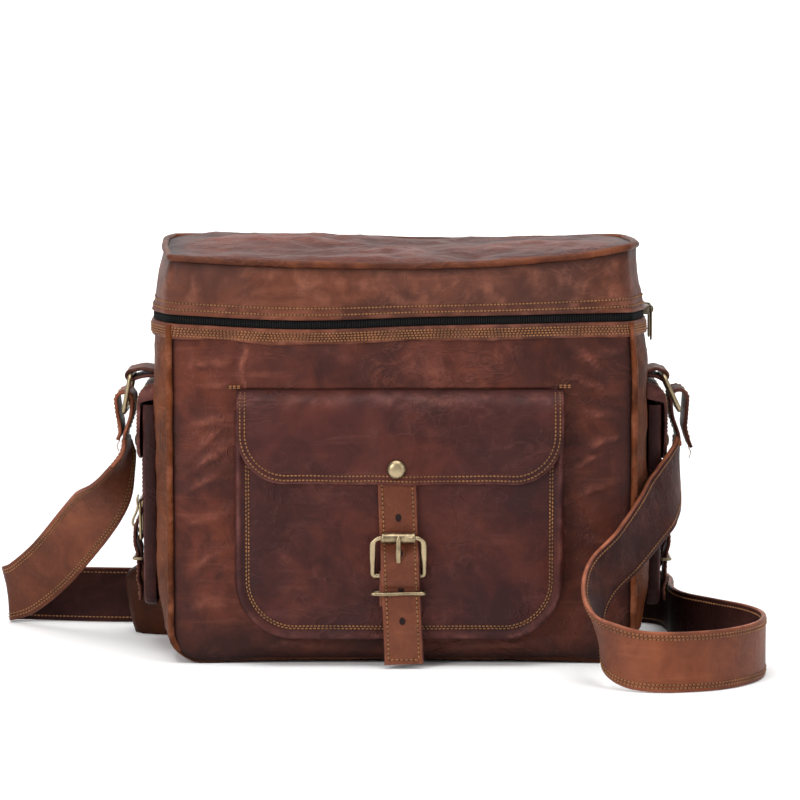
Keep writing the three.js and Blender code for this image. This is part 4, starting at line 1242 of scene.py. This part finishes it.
def ribbon(mesh, path, across, half, thick, mat, inner_mat=None, cells=10, seed=0.0, uneven=0.0,
    shade=None):
    """A strap: path of centres, the width direction at each, rounded edges. Outside is side x tangent."""
    path = np.asarray(path, float)
    w = np.broadcast_to(np.asarray(across, float), path.shape).copy()
    t = np.gradient(path, axis=0)
    t /= np.linalg.norm(t, axis=1, keepdims=True)
    w -= t * (w * t).sum(1, keepdims=True)
    w /= np.linalg.norm(w, axis=1, keepdims=True)
    n = np.cross(w, t)
    u = np.linspace(-1, 1, cells + 1)
    spots = np.concatenate([u * (1 - 0.9 / half)])
    prof = [(a * half, thick / 2) for a in spots] + [(half - 0.25, thick * 0.34), (half, 0),
        (half - 0.25, -thick * 0.34)]
    prof += [(a * half, -thick / 2) for a in spots[::-1]] + [(-half + 0.25, -thick * 0.34), (-half, 0),
        (-half + 0.25, thick * 0.34)]
    prof = np.array(prof)
    groove = np.exp(-((np.abs(prof[:, 0]) - (half - 3.2)) / 1.0) ** 2) * 0.22
    prof[:, 1] -= np.sign(prof[:, 1]) * groove
    ring = path[:, None] + w[:, None] * prof[None, :, 0:1] + n[:, None] * prof[None, :, 1:2]
    if uneven:
        bump = wave(ring, 0.03, seed, 3) * uneven
        ring = ring + n[:, None] * bump[..., None]
    m = len(prof)
    count = len(path)
    faces = grid_faces(count, m, True)
    verts = ring.reshape(-1, 3)
    cap0 = [tuple(range(m))]
    cap1 = [tuple((count - 1) * m + i for i in range(m))[::-1]]
    rim_wear = np.exp(-(half - np.abs(prof[:, 0])) / 0.7)
    wear = (rim_wear[None] * np.clip(0.35 + wave(ring, 0.05, seed, 2), 0, 0.8)).ravel()
    start = len(mesh.slots)
    # shade, if given, is painted shade on the faces turned towards -Y
    painted_shade = None
    if shade is not None:
        faces_front = (n[:, None, 1] * prof[None, :, 1]) < 0
        painted_shade = (shade[:, None] * faces_front).ravel()
    mesh.put(verts, [f[::-1] for f in faces] + cap0 + cap1, mat, wear, painted_shade)
    if inner_mat:
        if inner_mat not in mesh.mats:
            mesh.mats.append(inner_mat)
        slot = mesh.mats.index(inner_mat)
        for i in range(count - 1):
            for j in range(m):
                if cells + 4 <= j <= 2 * cells + 4:
                    mesh.slots[start + i * m + j] = slot
    return path, w, n


def add_buckle(name, s, turn, strap_in):
    big = name == "front"
    st, b, ch = s["strap"], s["buckle"], s["chape"]
    kz, khalf, wire = s["keeper"]
    hole = b["bar"] * 0.72
    bar_out = strap_in + ch["back"] + hole
    chape_out = bar_out + hole + ch["front"]
    half_t = st["thick"] / 2
    under, over = strap_in + half_t, chape_out + 0.3 + half_t
    tongue_out = strap_in + wire + 1.8
    tail = tongue_out + 0.3 + half_t

    # strap
    pts = [(under, st["top"]), (under, b["high"] + 14), (under, b["high"] + 3),
        (under + 0.3, b["high"] - 4), (over - 0.9, b["low"] + 9),
           (over, b["low"] + 3), (over, b["low"] - 4), (tail + 0.6, kz + 4), (tail, kz - 1),
           (tail - 0.2, kz - 10),
           (tail + 0.2, (kz + st["tail"]) / 2), (tail - 1.3, st["tail"] + 8), (tail - 1.0, st["tail"])]
    line = spline([(0, -d, z) for d, z in pts], 10)
    line = resample(line, 150)
    line[:, 0] = st["x"] + st["lean"] * (s["rivet"][0] - line[:, 2])
    m = Mesh("strap")
    path, w, n = ribbon(m, line, (1, 0, 0), st["half"], st["thick"], "inner", "strap", 12, s["seed"], 0.25)
    if n[10, 1] > 0:
        n = -n
    up = half_t - 0.12
    for e in (-1, 1):
        row = path + w * e * (st["half"] - 2.9) + n * up
        row = row[path[:, 2] > st["tail"] + 3]
        stitches(m, row, n[path[:, 2] > st["tail"] + 3], 2.9)
    end = path[-1] + np.array([0, 0, 3.0])
    cross = np.stack([end + np.array([a, 0, 0]) + n[-1] * up for a in np.linspace(-st["half"] + 3.4,
        st["half"] - 3.4, 20)])
    stitches(m, cross, n[-1], 2.9)
    # punched holes, sunk in the strap, their insides painted dark as shade
    for hz in s["holes"]:
        k = int(np.argmin(np.abs(path[:, 2] - hz)))
        punched(m, path[k] + n[k] * (half_t + 0.03), w[k], n[k], 1.7 if big else 1.3, 2.1 if big else 1.5)
    m.done(f"{name}_strap_leather", f"{name}_flap", [f"{name}_strap"], "strap_leather", turn, 55)

    # chape: folded round the lower bar, sewn below it on the bag, though no stitches are drawn here
    bx = b["x"]
    r = hole + 0.45
    arc = [(bar_out - r * math.cos(a), b["low"] + r * math.sin(a)) for a in np.linspace(0, math.pi, 9)]
    pts = [(strap_in + 0.55, kz + wire * 0.5 + 1.2), (strap_in + 0.6, b["low"] - 3)] + arc + \
          [(bar_out + r - 0.3, b["low"] - 2.2), (tongue_out - 0.65, b["low"] - 7),
          (tongue_out - 0.65, kz - 2),
           (strap_in + 1.6, kz - 5.5), (strap_in + 0.9, ch["low"])]
    line = resample(spline([(bx, -d, z) for d, z in pts], 8), 70)
    m = Mesh("strap")
    ribbon(m, line, (1, 0, 0), ch["half"], 0.9, "inner", "strap", 6, s["seed"], 0.0)
    m.done(f"{name}_chape_fold", "root", [f"{name}_chape"], "strap_leather", turn, 55)

    # frame: a flat bent bar, leaning with its top over the strap
    top_out = strap_in + st["thick"] + 0.3 + (b["roller"] or b["bar"] / 2)
    tilt = math.atan2(top_out - bar_out, b["high"] - b["low"])
    span = math.hypot(top_out - bar_out, b["high"] - b["low"])
    c, si = math.cos(tilt), math.sin(tilt)

    def place(p):
        p = np.asarray(p, float)
        return np.stack([bx + p[:, 0], -(bar_out + p[:, 1] * si + p[:, 2] * c),
            b["low"] + p[:, 1] * c - p[:, 2] * si], 1)
    hw = b["half"] + b["side"] / 2
    topy = span + (b["tip"] * 0.35 if not b["roller"] else 0.0)
    rr = 5.0 if big else 4.0
    outline = rounded_rect(-hw, 0, hw, topy, [1.6, rr, rr, 1.6], 110)
    flat = np.stack([outline[:, 0], outline[:, 1], np.zeros(len(outline))], 1)
    sides = smooth(0.15 * span, 0.5 * span, flat[:, 1]) * (1 - smooth(0.86 * span, span, flat[:, 1]))
    wide = b["bar"] / 2 * 0.92 + sides * (b["side"] / 2 - b["bar"] / 2 * 0.92)
    at_side = np.abs(np.abs(flat[:, 0]) - hw) < 0.8
    wide = np.where(at_side, np.maximum(wide, b["side"] * 0.42), b["bar"] * 0.44)
    m = Mesh("brass")
    normal = place([[0, 0, 1]])[0] - place([[0, 0, 0]])[0]
    flat_tube(m, place(flat), wide, b["bar"] * 0.42, normal, "brass", 12)
    m.done(f"{name}_buckle_bow", f"{name}_buckle", [f"{name}_buckle_frame"], "antique_brass", turn, 60)

    if b["roller"]:
        notch = b["half"] * 0.80
        m = Mesh("brass")
        prof = [(-notch + 0.5, b["bar"] * 0.62), (-notch + 0.5, 2.9), (-notch + 0.9, 3.35),
            (-notch + 2.4, 3.45), (-notch + 2.7, 3.3), (0, 3.4),
                (notch - 2.7, 3.3), (notch - 2.4, 3.45), (notch - 0.9, 3.35), (notch - 0.5, 2.9),
                (notch - 0.5, b["bar"] * 0.62)]
        bar_lathe(m, prof, (bx, -top_out, b["high"]), "brass", 32)
        m.done("front_buckle_sleeve", "front_roller", ["front_buckle_roller"], "antique_brass", turn, 45)

    # prong: an eye round the lower bar, a shank and a flattened tip
    rest = top_out + (b["roller"] or b["bar"] / 2) + 0.4
    pw = b["bar"] * 0.45
    er = hole + 0.35
    ring = [(bar_out - er * math.cos(a), b["low"] + er * math.sin(a)) for a in np.linspace(-0.7,
        math.pi * 1.35, 16)]
    m = Mesh("brass")
    loop = np.array([(bx, -d, z) for d, z in ring])
    flat_tube(m, loop, 0.62, pw, (1, 0, 0), "brass", 10, closed=False)
    shank = [(bar_out + er * 0.6, b["low"] + er * 0.9), (bar_out + er + 0.6, b["low"] + 5),
        (over + half_t + 1.3, b["low"] + 9),
             (rest + pw * 0.9, b["high"] - 6), (rest + pw * 1.0, b["high"] - 1),
             (rest + pw * 0.7, b["high"] + 2.0), (rest + 0.2, b["high"] + 3.6)]
    if big:
        shank = [shank[0], (bar_out + er + 0.2, b["low"] + 5), (over - 0.2, b["high"] - 15),
                 (over + half_t + 1.2, b["high"] - 8.5), (rest + pw * 0.9, b["high"] - 4),
                 (rest + pw * 0.95, b["high"] - 1), (rest + pw * 0.6, b["high"] + 0.9),
                 (rest + 0.3, b["high"] + 2.0)]
    line = resample(spline([(bx, -d, z) for d, z in shank], 8), 40)
    wide = np.interp(np.linspace(0, 1, 40), [0, 0.2, 0.8, 0.95, 1],
        [pw * 1.0, pw * 1.15, pw * 1.15, pw * 0.9, pw * 0.45])
    flat_tube(m, line, np.interp(np.linspace(0, 1, 40), [0, 0.9, 1], [pw * 0.75, pw * 0.75, pw * 0.4]),
        wide, (1, 0, 0), "brass", 12,
              closed=False)
    m.done(f"{name}_prong_bar", f"{name}_prong", [f"{name}_buckle_prong"], "antique_brass", turn, 55)

    # keeper: a round wire loop whose rear leg lies under the chape
    keeper_in = strap_in + 0.3 + wire / 2
    keeper_out = tail + half_t + (0.7 if big else 0.85) + wire / 2
    outline = rounded_rect(-khalf - wire / 2, keeper_in, khalf + wire / 2, keeper_out, [1.8] * 4, 90)
    m = Mesh("brass")
    p = np.stack([bx + outline[:, 0], -outline[:, 1], kz + 0.25 * np.sin(outline[:, 0] / 6)], 1)
    tube(m, p, wire / 2, "brass", closed=True, around=12, up=(0, 0, 1))
    m.done(f"{name}_keeper_wire", f"{name}_keeper", [f"{name}_keeper"], "antique_brass", turn, 60)


def punched(mesh, centre, across, normal, wide, tall):
    """A punched hole: a shallow pit in a dark colour, painted shade, with a pressed rim."""
    along = np.cross(normal, across)
    verts, faces = [], []
    rings = ((1.3, -0.35), (1.15, 0.06), (1.0, 0.10), (0.8, 0.05), (0.0, 0.04))
    count = 18
    for size, high in rings:
        for k in range(count):
            a = 2 * math.pi * k / count
            verts.append(centre + across * math.cos(a) * wide * max(size,
                0.02) + along * math.sin(a) * tall * max(size, 0.02) + normal * high)
    for i in range(len(rings) - 1):
        for k in range(count):
            q = (k + 1) % count
            faces.append((i * count + k, i * count + q, (i + 1) * count + q, (i + 1) * count + k))
    faces.append(tuple(range((len(rings) - 1) * count, len(rings) * count)))
    faces.append(tuple(range(count))[::-1])
    mesh.put(verts, [f[::-1] for f in faces] if np.dot(np.cross(across, along), normal) < 0 else faces,
        "hole")


def bar_lathe(mesh, profile, centre, mat, around=32):
    """A profile of (along X, radius) turned about X, closed on itself for a sleeve."""
    verts, faces = [], []
    for x, r in profile:
        for k in range(around):
            a = 2 * math.pi * k / around
            verts.append((centre[0] + x, centre[1] + r * math.cos(a), centre[2] + r * math.sin(a)))
    n = len(profile)
    for i in range(n):
        j = (i + 1) % n
        for k in range(around):
            q = (k + 1) % around
            faces.append((i * around + k, i * around + q, j * around + q, j * around + k))
    mesh.put(verts, faces, mat)


def rounded_rect(x0, y0, x1, y1, radii, count):
    """A closed rounded rectangle. Radii: lower left, upper left, upper right, lower right."""
    pts = []
    corners = [(x0, y0, 1.5), (x0, y1, 1.0), (x1, y1, 0.5), (x1, y0, 0.0)]
    for (cx, cy, half_turns), r in zip(corners, radii):
        ox = cx + r if cx == x0 else cx - r
        oy = cy + r if cy == y0 else cy - r
        first = half_turns * math.pi
        for k in range(9):
            a = first - k / 8 * math.pi / 2
            pts.append((ox + r * math.cos(a), oy + r * math.sin(a), 0))
    return resample(pts, count, True)


def flat_tube(mesh, path, wide, thick, normal, mat, around=12, closed=True):
    """An oval bar: wide is the half size in the plane, thick along the given normal."""
    path = np.asarray(path, float)
    n = len(path)
    t = (np.roll(path, -1, 0) - np.roll(path, 1, 0)) if closed else np.gradient(path, axis=0)
    t /= np.linalg.norm(t, axis=1, keepdims=True)
    norm = np.broadcast_to(np.asarray(normal, float), path.shape)
    norm = norm - t * (norm * t).sum(1, keepdims=True)
    norm = norm / np.linalg.norm(norm, axis=1, keepdims=True)
    side = np.cross(t, norm)
    wide = np.broadcast_to(wide, n)
    thick = np.broadcast_to(thick, n)
    a = np.linspace(0, 2 * math.pi, around, endpoint=False)
    ca = np.sign(np.cos(a)) * np.abs(np.cos(a)) ** 0.75
    sa = np.sign(np.sin(a)) * np.abs(np.sin(a)) ** 0.75
    ring = path[:, None] + side[:, None] * (ca[None, :, None] * wide[:, None, None]) \
        + norm[:, None] * (sa[None, :, None] * thick[:, None, None])
    faces = grid_faces(n, around, True)
    verts = ring.reshape(-1, 3)
    wear = np.tile(np.clip(sa, 0, 1) * 0.5, n)
    if closed:
        for j in range(around):
            k = (j + 1) % around
            faces.append(((n - 1) * around + j, (n - 1) * around + k, k, j))
    else:
        faces.append(tuple(range(around))[::-1])
        faces.append(tuple((n - 1) * around + i for i in range(around)))
    mesh.put(verts, faces, mat, wear)


# ---------------------------------------------------------------- rings, tabs and loops
RINGS = {"left": dict(topX=178.5, topZ=181.5, lowX=183.0, lowZ=157.5),
    "right": dict(topX=172.0, topZ=181.5, lowX=182.5, lowZ=159.0)}


def add_ring(side, r):
    turn = TURN[side]
    bar = 3.2
    # ring: a bent wire, drawn as one closed bar without its brazed joint
    wide = 20.5 + bar / 2
    span = math.hypot(r["lowX"] - r["topX"], r["topZ"] - r["lowZ"])
    outline = rounded_rect(-wide, 0, wide, span, [4.5] * 4, 120)
    out = np.array([0, -(r["topX"] - r["lowX"]) / span, (r["topZ"] - r["lowZ"]) / span])
    low = np.array([0, -r["lowX"], r["lowZ"]])
    p = low + outline[:, :1] * np.array([1, 0, 0]) + outline[:, 1:2] * out
    m = Mesh("brass")
    tube(m, p, bar / 2, "brass", closed=True, around=14, up=(0, -1, 0.2), wear=0.15)
    m.done(f"{side}_ring_wire", f"{side}_ring", [f"{side}_ring"], "antique_brass", turn, 70)

    # tab: out of the gusset, over the ring's top bar and back under itself
    tx, tz = r["topX"], r["topZ"]
    e = bar / 2 + 1.3
    arc = [(tx + e * math.sin(a), tz + e * math.cos(a)) for a in np.linspace(0, math.pi, 10)]
    pts = [(SIDE - 2.5, tz + 2.2), (SIDE + 2.5, tz + 3.2), ((SIDE + tx) / 2 + 1.0, tz + 4.4)] + arc + \
          [((SIDE + tx) / 2 + 1, tz - 0.6), (SIDE + 3.0, tz - 0.1), (SIDE - 2.0, tz - 0.8)]
    line = resample(spline([(0, -x, z) for x, z in pts], 8), 70)
    m = Mesh("gusset")
    path, w, n = ribbon(m, line, (1, 0, 0), 17.6, 2.3, "inner", "gusset", 10, 4.0, 0.15)
    obj = m.done(f"{side}_tab_leather", None, [f"{side}_ring_tab"], "gusset_leather", turn, 60)
    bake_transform(obj)

    # loop: the strap's end, folded over the ring's low bar and sewn to itself
    lx, lz = r["lowX"], r["lowZ"]
    crown = lz + 7.5
    R = 5.4
    arc = [(lx + R * math.cos(a), crown + R * math.sin(a)) for a in np.linspace(0, math.pi, 13)]
    if side == "right":
        tail_pts = [(lx + 8.2, 134.0), (lx + 6.0, 140.0), (lx + 4.2, 147.0), (lx + 4.6, 154)]
    else:
        tail_pts = [(lx + 4.6, 139.0), (lx + 2.9, 143.5), (lx + 3.0, 149.0), (lx + 4.4, 156)]
    pts = tail_pts + arc + [(lx - 4.3, 155), (lx - 1.9, 147.5), (lx - 0.4, 143.0), (lx, 140.0)]
    line = resample(spline([(0, -x, z) for x, z in pts], 8), 80)
    m = Mesh("strap")
    outer_mat, inner_mat = ("inner", "strap") if side == "right" else ("strap", "inner")
    path, w, n = ribbon(m, line, (1, 0, 0), 18.4, 2.3, outer_mat, inner_mat, 12, 6.0, 0.2)
    flip = -1 if n[40, 2] < 0 else 1
    for e in (-1, 1):
        stitches(m, path[6:-4] + w[6:-4] * e * 15.0 + n[6:-4] * flip * 1.1, n[6:-4] * flip, 2.9)
    # bar tack through both plies, and a loose thread end
    for dz in (0, 2.6):
        row = np.stack([(a, -(lx + 4.6), 149.5 - dz) for a in np.linspace(-15, 15, 40)])
        stitches(m, row, (0, -1, 0), 4.0)
    tip = path[0] + w[0] * (14 if side == "right" else -12)
    frayed = spline([tip, tip + np.array([1.0, -0.8, -4]), tip + np.array([2.6, -2.2, -7]),
        tip + np.array([1.4, -1.0, -11])], 6)
    tube(m, frayed, 0.32, "thread", around=6)
    m.done(f"{side}_strap_fold", f"{side}_ring", [f"{side}_strap_loop"], "strap_leather", turn, 60)


# ---------------------------------------------------------------- shoulder strap
ROUTE = [
    ((-183, 0, 139.2), (0, -1, 0)), ((-183.1, 0.2, 133), (-.05, -1, .02)),
    ((-186, 3, 123), (-.22, -.95, .15)),
    ((-192, 10, 110), (-.4, -.88, .25)), ((-203, 24, 91), (-.6, -.45, .6)),
    ((-220, 44, 68), (-.6, -.12, .78)),
    ((-240, 64, 44), (-.5, 0, .86)), ((-260, 80, 26), (-.32, 0, .94)), ((-271, 90, 20.3), (-.12, 0, .99)),
    ((-264, 98, 19.6), (0, 0, 1)), ((-238, 95, 19.3), (0, 0, 1)), ((-195, 90, 19.2), (0, 0, 1)),
    ((-120, 88, 19.2), (0, 0, 1)),
    ((0, 88, 19.2), (0, 0, 1)), ((100, 89, 19.2), (0, 0, 1)), ((148, 91, 19.2), (0, 0, 1)),
    ((175, 80, 19.2), (0, 0, 1)),
    ((182, 50, 19.2), (0, 0, 1)), ((180, 12, 19.2), (0, 0, 1)), ((186, -20, 19.2), (0, 0, 1)),
    ((203, -46, 19.2), (0, 0, 1)),
    ((222, -72, 19.2), (0, 0, 1)), ((231, -104, 19.2), (0, 0, 1)), ((223, -140, 19.2), (0, 0, 1)),
    ((198, -170, 19.2), (0, 0, 1)),
    ((166, -181, 19.2), (0, 0, 1)), ((143, -177, 20.5), (-.07, 0, 1)),
    ((128, -164, 26.5), (-.2, -.05, .98)),
    ((122, -149, 38), (-.33, -.35, .86)), ((121.5, -134, 51), (-.38, -.6, .7)),
    ((128, -118, 63), (-.46, -.65, .6)),
    ((145, -97, 78), (-.54, -.73, .4)), ((162.5, -71, 96), (-.58, -.74, .3)),
    ((171.5, -50, 106), (-.5, -.74, .38)),
    ((177.8, -31, 114.5), (-.33, -.76, .5)), ((181.5, -16, 121.5), (-.15, -.82, .5)),
    ((182.5, -5, 126.5), (-.05, -.93, .3)),
    ((182.5, -0.2, 132), (0, -1, .05)), ((182.5, 0, 138), (0, -1, 0)),
]


def add_shoulder_strap():
    pts = spline([p for p, _ in ROUTE], 14)
    across = spline([w for _, w in ROUTE], 14)
    s = np.concatenate([[0], np.cumsum(np.linalg.norm(np.diff(pts, axis=0), axis=1))])
    count = 620
    want = np.linspace(0, s[-1], count)
    path = np.stack([np.interp(want, s, pts[:, i]) for i in range(3)], 1)
    w = np.stack([np.interp(want, s, across[:, i]) for i in range(3)], 1)
    w /= np.linalg.norm(w, axis=1, keepdims=True)
    # the strap is never quite flat
    t = np.gradient(path, axis=0)
    t /= np.linalg.norm(t, axis=1, keepdims=True)
    n = np.cross(w, t)
    path = path + n * (wave(path, 0.012, 3.0, 2) * 1.2 * smooth(0, 40, want) * smooth(0, 40,
        s[-1] - want))[:, None]
    cuts = [0, 8, 300, count - 10, count - 1]
    names = ["left_strap_top", "strap_left_half", "strap_right_half", "right_strap_top"]
    total = s[-1]
    for i, name in enumerate(names):
        a, b = cuts[i], cuts[i + 1] + 1
        m = Mesh("strap")
        px, py, pz = path[a:b].T
        # painted shade on the camera side of the low runs behind the front, at both sides, stronger on the
        # right
        behind = (0.88 * smooth(150, 165, px) + 0.42 * smooth(-150, -165, px)) * smooth(-95, -45,
            py) * smooth(60, 45, pz)
        part, pw, pn = ribbon(m, path[a:b], w[a:b], 19, 3.0, "strap", "inner", 12, 5.0, 0.3, behind)
        for sgn, rows in ((1, (16.2, 14.2)), (-1, (15.6,))):
            for e in [k * side for k in rows for side in (-1, 1)]:
                stitches(m, part + pw * e + pn * sgn * 1.42, pn * sgn, 2.6, 0.55)
        obj = m.done(name, None, ["shoulder_strap"], "strap_leather", None, 60)
        sgn = -1 if part[0, 0] < 0 and i < 2 else 1
        if i in (0, 3):
            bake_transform(obj)
        elif i == 1:
            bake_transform(obj)
        else:
            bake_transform(obj)
    return total


# ---------------------------------------------------------------- zip sliders
def add_slider(end, at):
    """The slider's cast plate with its crown, and the pull that hangs from it."""
    m = Mesh("dark_brass")
    pad(m, (155.6, at - 4.6, 221.9), (162.6, at + 4.6, 227.9), "dark_brass", 1.1, 0.25, 4.0)
    arch = spline([(162.0, at, 227.2), (164.2, at, 226.9), (165.0, at, 225.2), (164.2, at, 223.2),
        (162.0, at, 222.8)], 6)
    tube(m, arch, 0.65, "dark_brass", around=10, up=(0, 1, 0))
    obj = m.done(f"{end}_slider_plate", f"{end}_slider", [f"{end}_zip_slider"], "antique_brass", warp=None)
    weld(obj)
    m = Mesh("dark_brass")
    eye = rounded_rect(-2.6, 0, 2.6, 6.0, [1.2] * 4, 60)
    tube(m, np.stack([163.9 + 0 * eye[:, 0], at + eye[:, 0], 220.0 + eye[:, 1]], 1), 0.7, "dark_brass",
        closed=True, up=(1, 0, 0))
    tag = rounded_rect(-3.2, -15.5, 3.2, 0.4, [3.0, 1.4, 1.4, 3.0], 60)
    rows = []
    for grow, off in ((0.55, -0.5), (0.9, -0.65), (1.0, -0.3), (1.0, 0.3), (0.9, 0.65), (0.55, 0.5)):
        rows.append(np.stack([163.9 + off + 0 * tag[:, 0], at + tag[:, 0] * grow,
            212.4 + (tag[:, 1] + 7.5) * grow], 1))
    rows = np.array(rows)
    count = rows.shape[1]
    faces = grid_faces(len(rows), count, True)
    faces += [tuple(range(count))[::-1], tuple((len(rows) - 1) * count + i for i in range(count))]
    m.put(rows.reshape(-1, 3), faces, "dark_brass", np.repeat([0.6, 0.3, 0.1, 0.1, 0.3, 0.6], count))
    m.done(f"{end}_pull_tag", f"{end}_pull", [f"{end}_zip_pull"], "antique_brass")


# ---------------------------------------------------------------- build
add_body()
add_inside()
add_lid()
add_zip()
for key, spec in POCKETS.items():
    add_pocket(key, spec)
for key, spec in RINGS.items():
    add_ring(key, spec)
STRAP_LENGTH = add_shoulder_strap()

for end, at in (("front", -12.0), ("rear", 12.0)):
    add_slider(end, at)

# ---------------------------------------------------------------- studio
def add_plane(name, colour):
    """The floor, curving up into a backdrop."""
    n = Nodes(name)
    n.finish(colour, 0.75)
    m = n.mat
    me = bpy.data.meshes.new(name)
    a, depth, r = 8.0, 5.0, 2.0
    rows = [(-9.0, 0.0)] + [(depth + r * math.sin(t), r - r * math.cos(t)) for t in np.linspace(0,
        math.pi / 2, 14)] + [(depth + r, 9.0)]
    verts = [(x, y, z) for y, z in rows for x in (-a, a)]
    faces = [(2 * i, 2 * i + 1, 2 * i + 3, 2 * i + 2) for i in range(len(rows) - 1)]
    me.from_pydata(verts, [], faces)
    me.materials.append(m)
    me.shade_smooth()
    obj = bpy.data.objects.new(name, me)
    bpy.context.scene.collection.objects.link(obj)
    return obj


def add_light(name, place, aim, size, power):
    data = bpy.data.lights.new(name, "AREA")
    data.shape = "RECTANGLE"
    data.size, data.size_y = size
    data.energy = power
    obj = bpy.data.objects.new(name, data)
    obj.location = place
    obj.rotation_euler = (Vector(aim) - Vector(place)).to_track_quat("-Z", "Y").to_euler()
    bpy.context.scene.collection.objects.link(obj)
    return obj


add_plane("studio_floor", (0.93, 0.93, 0.93))
add_light("overhead", (0.0, -0.3, 2.2), (0, 0, 0.1), (2.2, 1.8), 58)
add_light("behind", (0.0, 2.4, 3.0), (0, 7.0, 0.6), (5.0, 2.0), 260)
add_light("front_left", (-1.6, -2.0, 1.2), (0, 0, 0.12), (1.0, 1.0), 34)
add_light("front_right", (1.9, -1.7, 1.0), (0, 0, 0.12), (1.0, 1.2), 8)
world = bpy.data.worlds.new("studio")
world.use_nodes = True
world.node_tree.nodes["Background"].inputs[0].default_value = (1, 1, 1, 1)
world.node_tree.nodes["Background"].inputs[1].default_value = 0.5
bpy.context.scene.world = world

camera = bpy.data.objects.new("camera", bpy.data.cameras.new("camera"))
camera.data.lens = 169.1
camera.data.sensor_width = 36.0
camera.location = (-0.0013, -2.478, 0.421)
camera.rotation_euler = (math.radians(90 - 5.93), 0, 0)
camera.data.clip_end = 50
bpy.context.scene.collection.objects.link(camera)
bpy.context.scene.camera = camera
bpy.context.scene.view_settings.view_transform = "Standard"
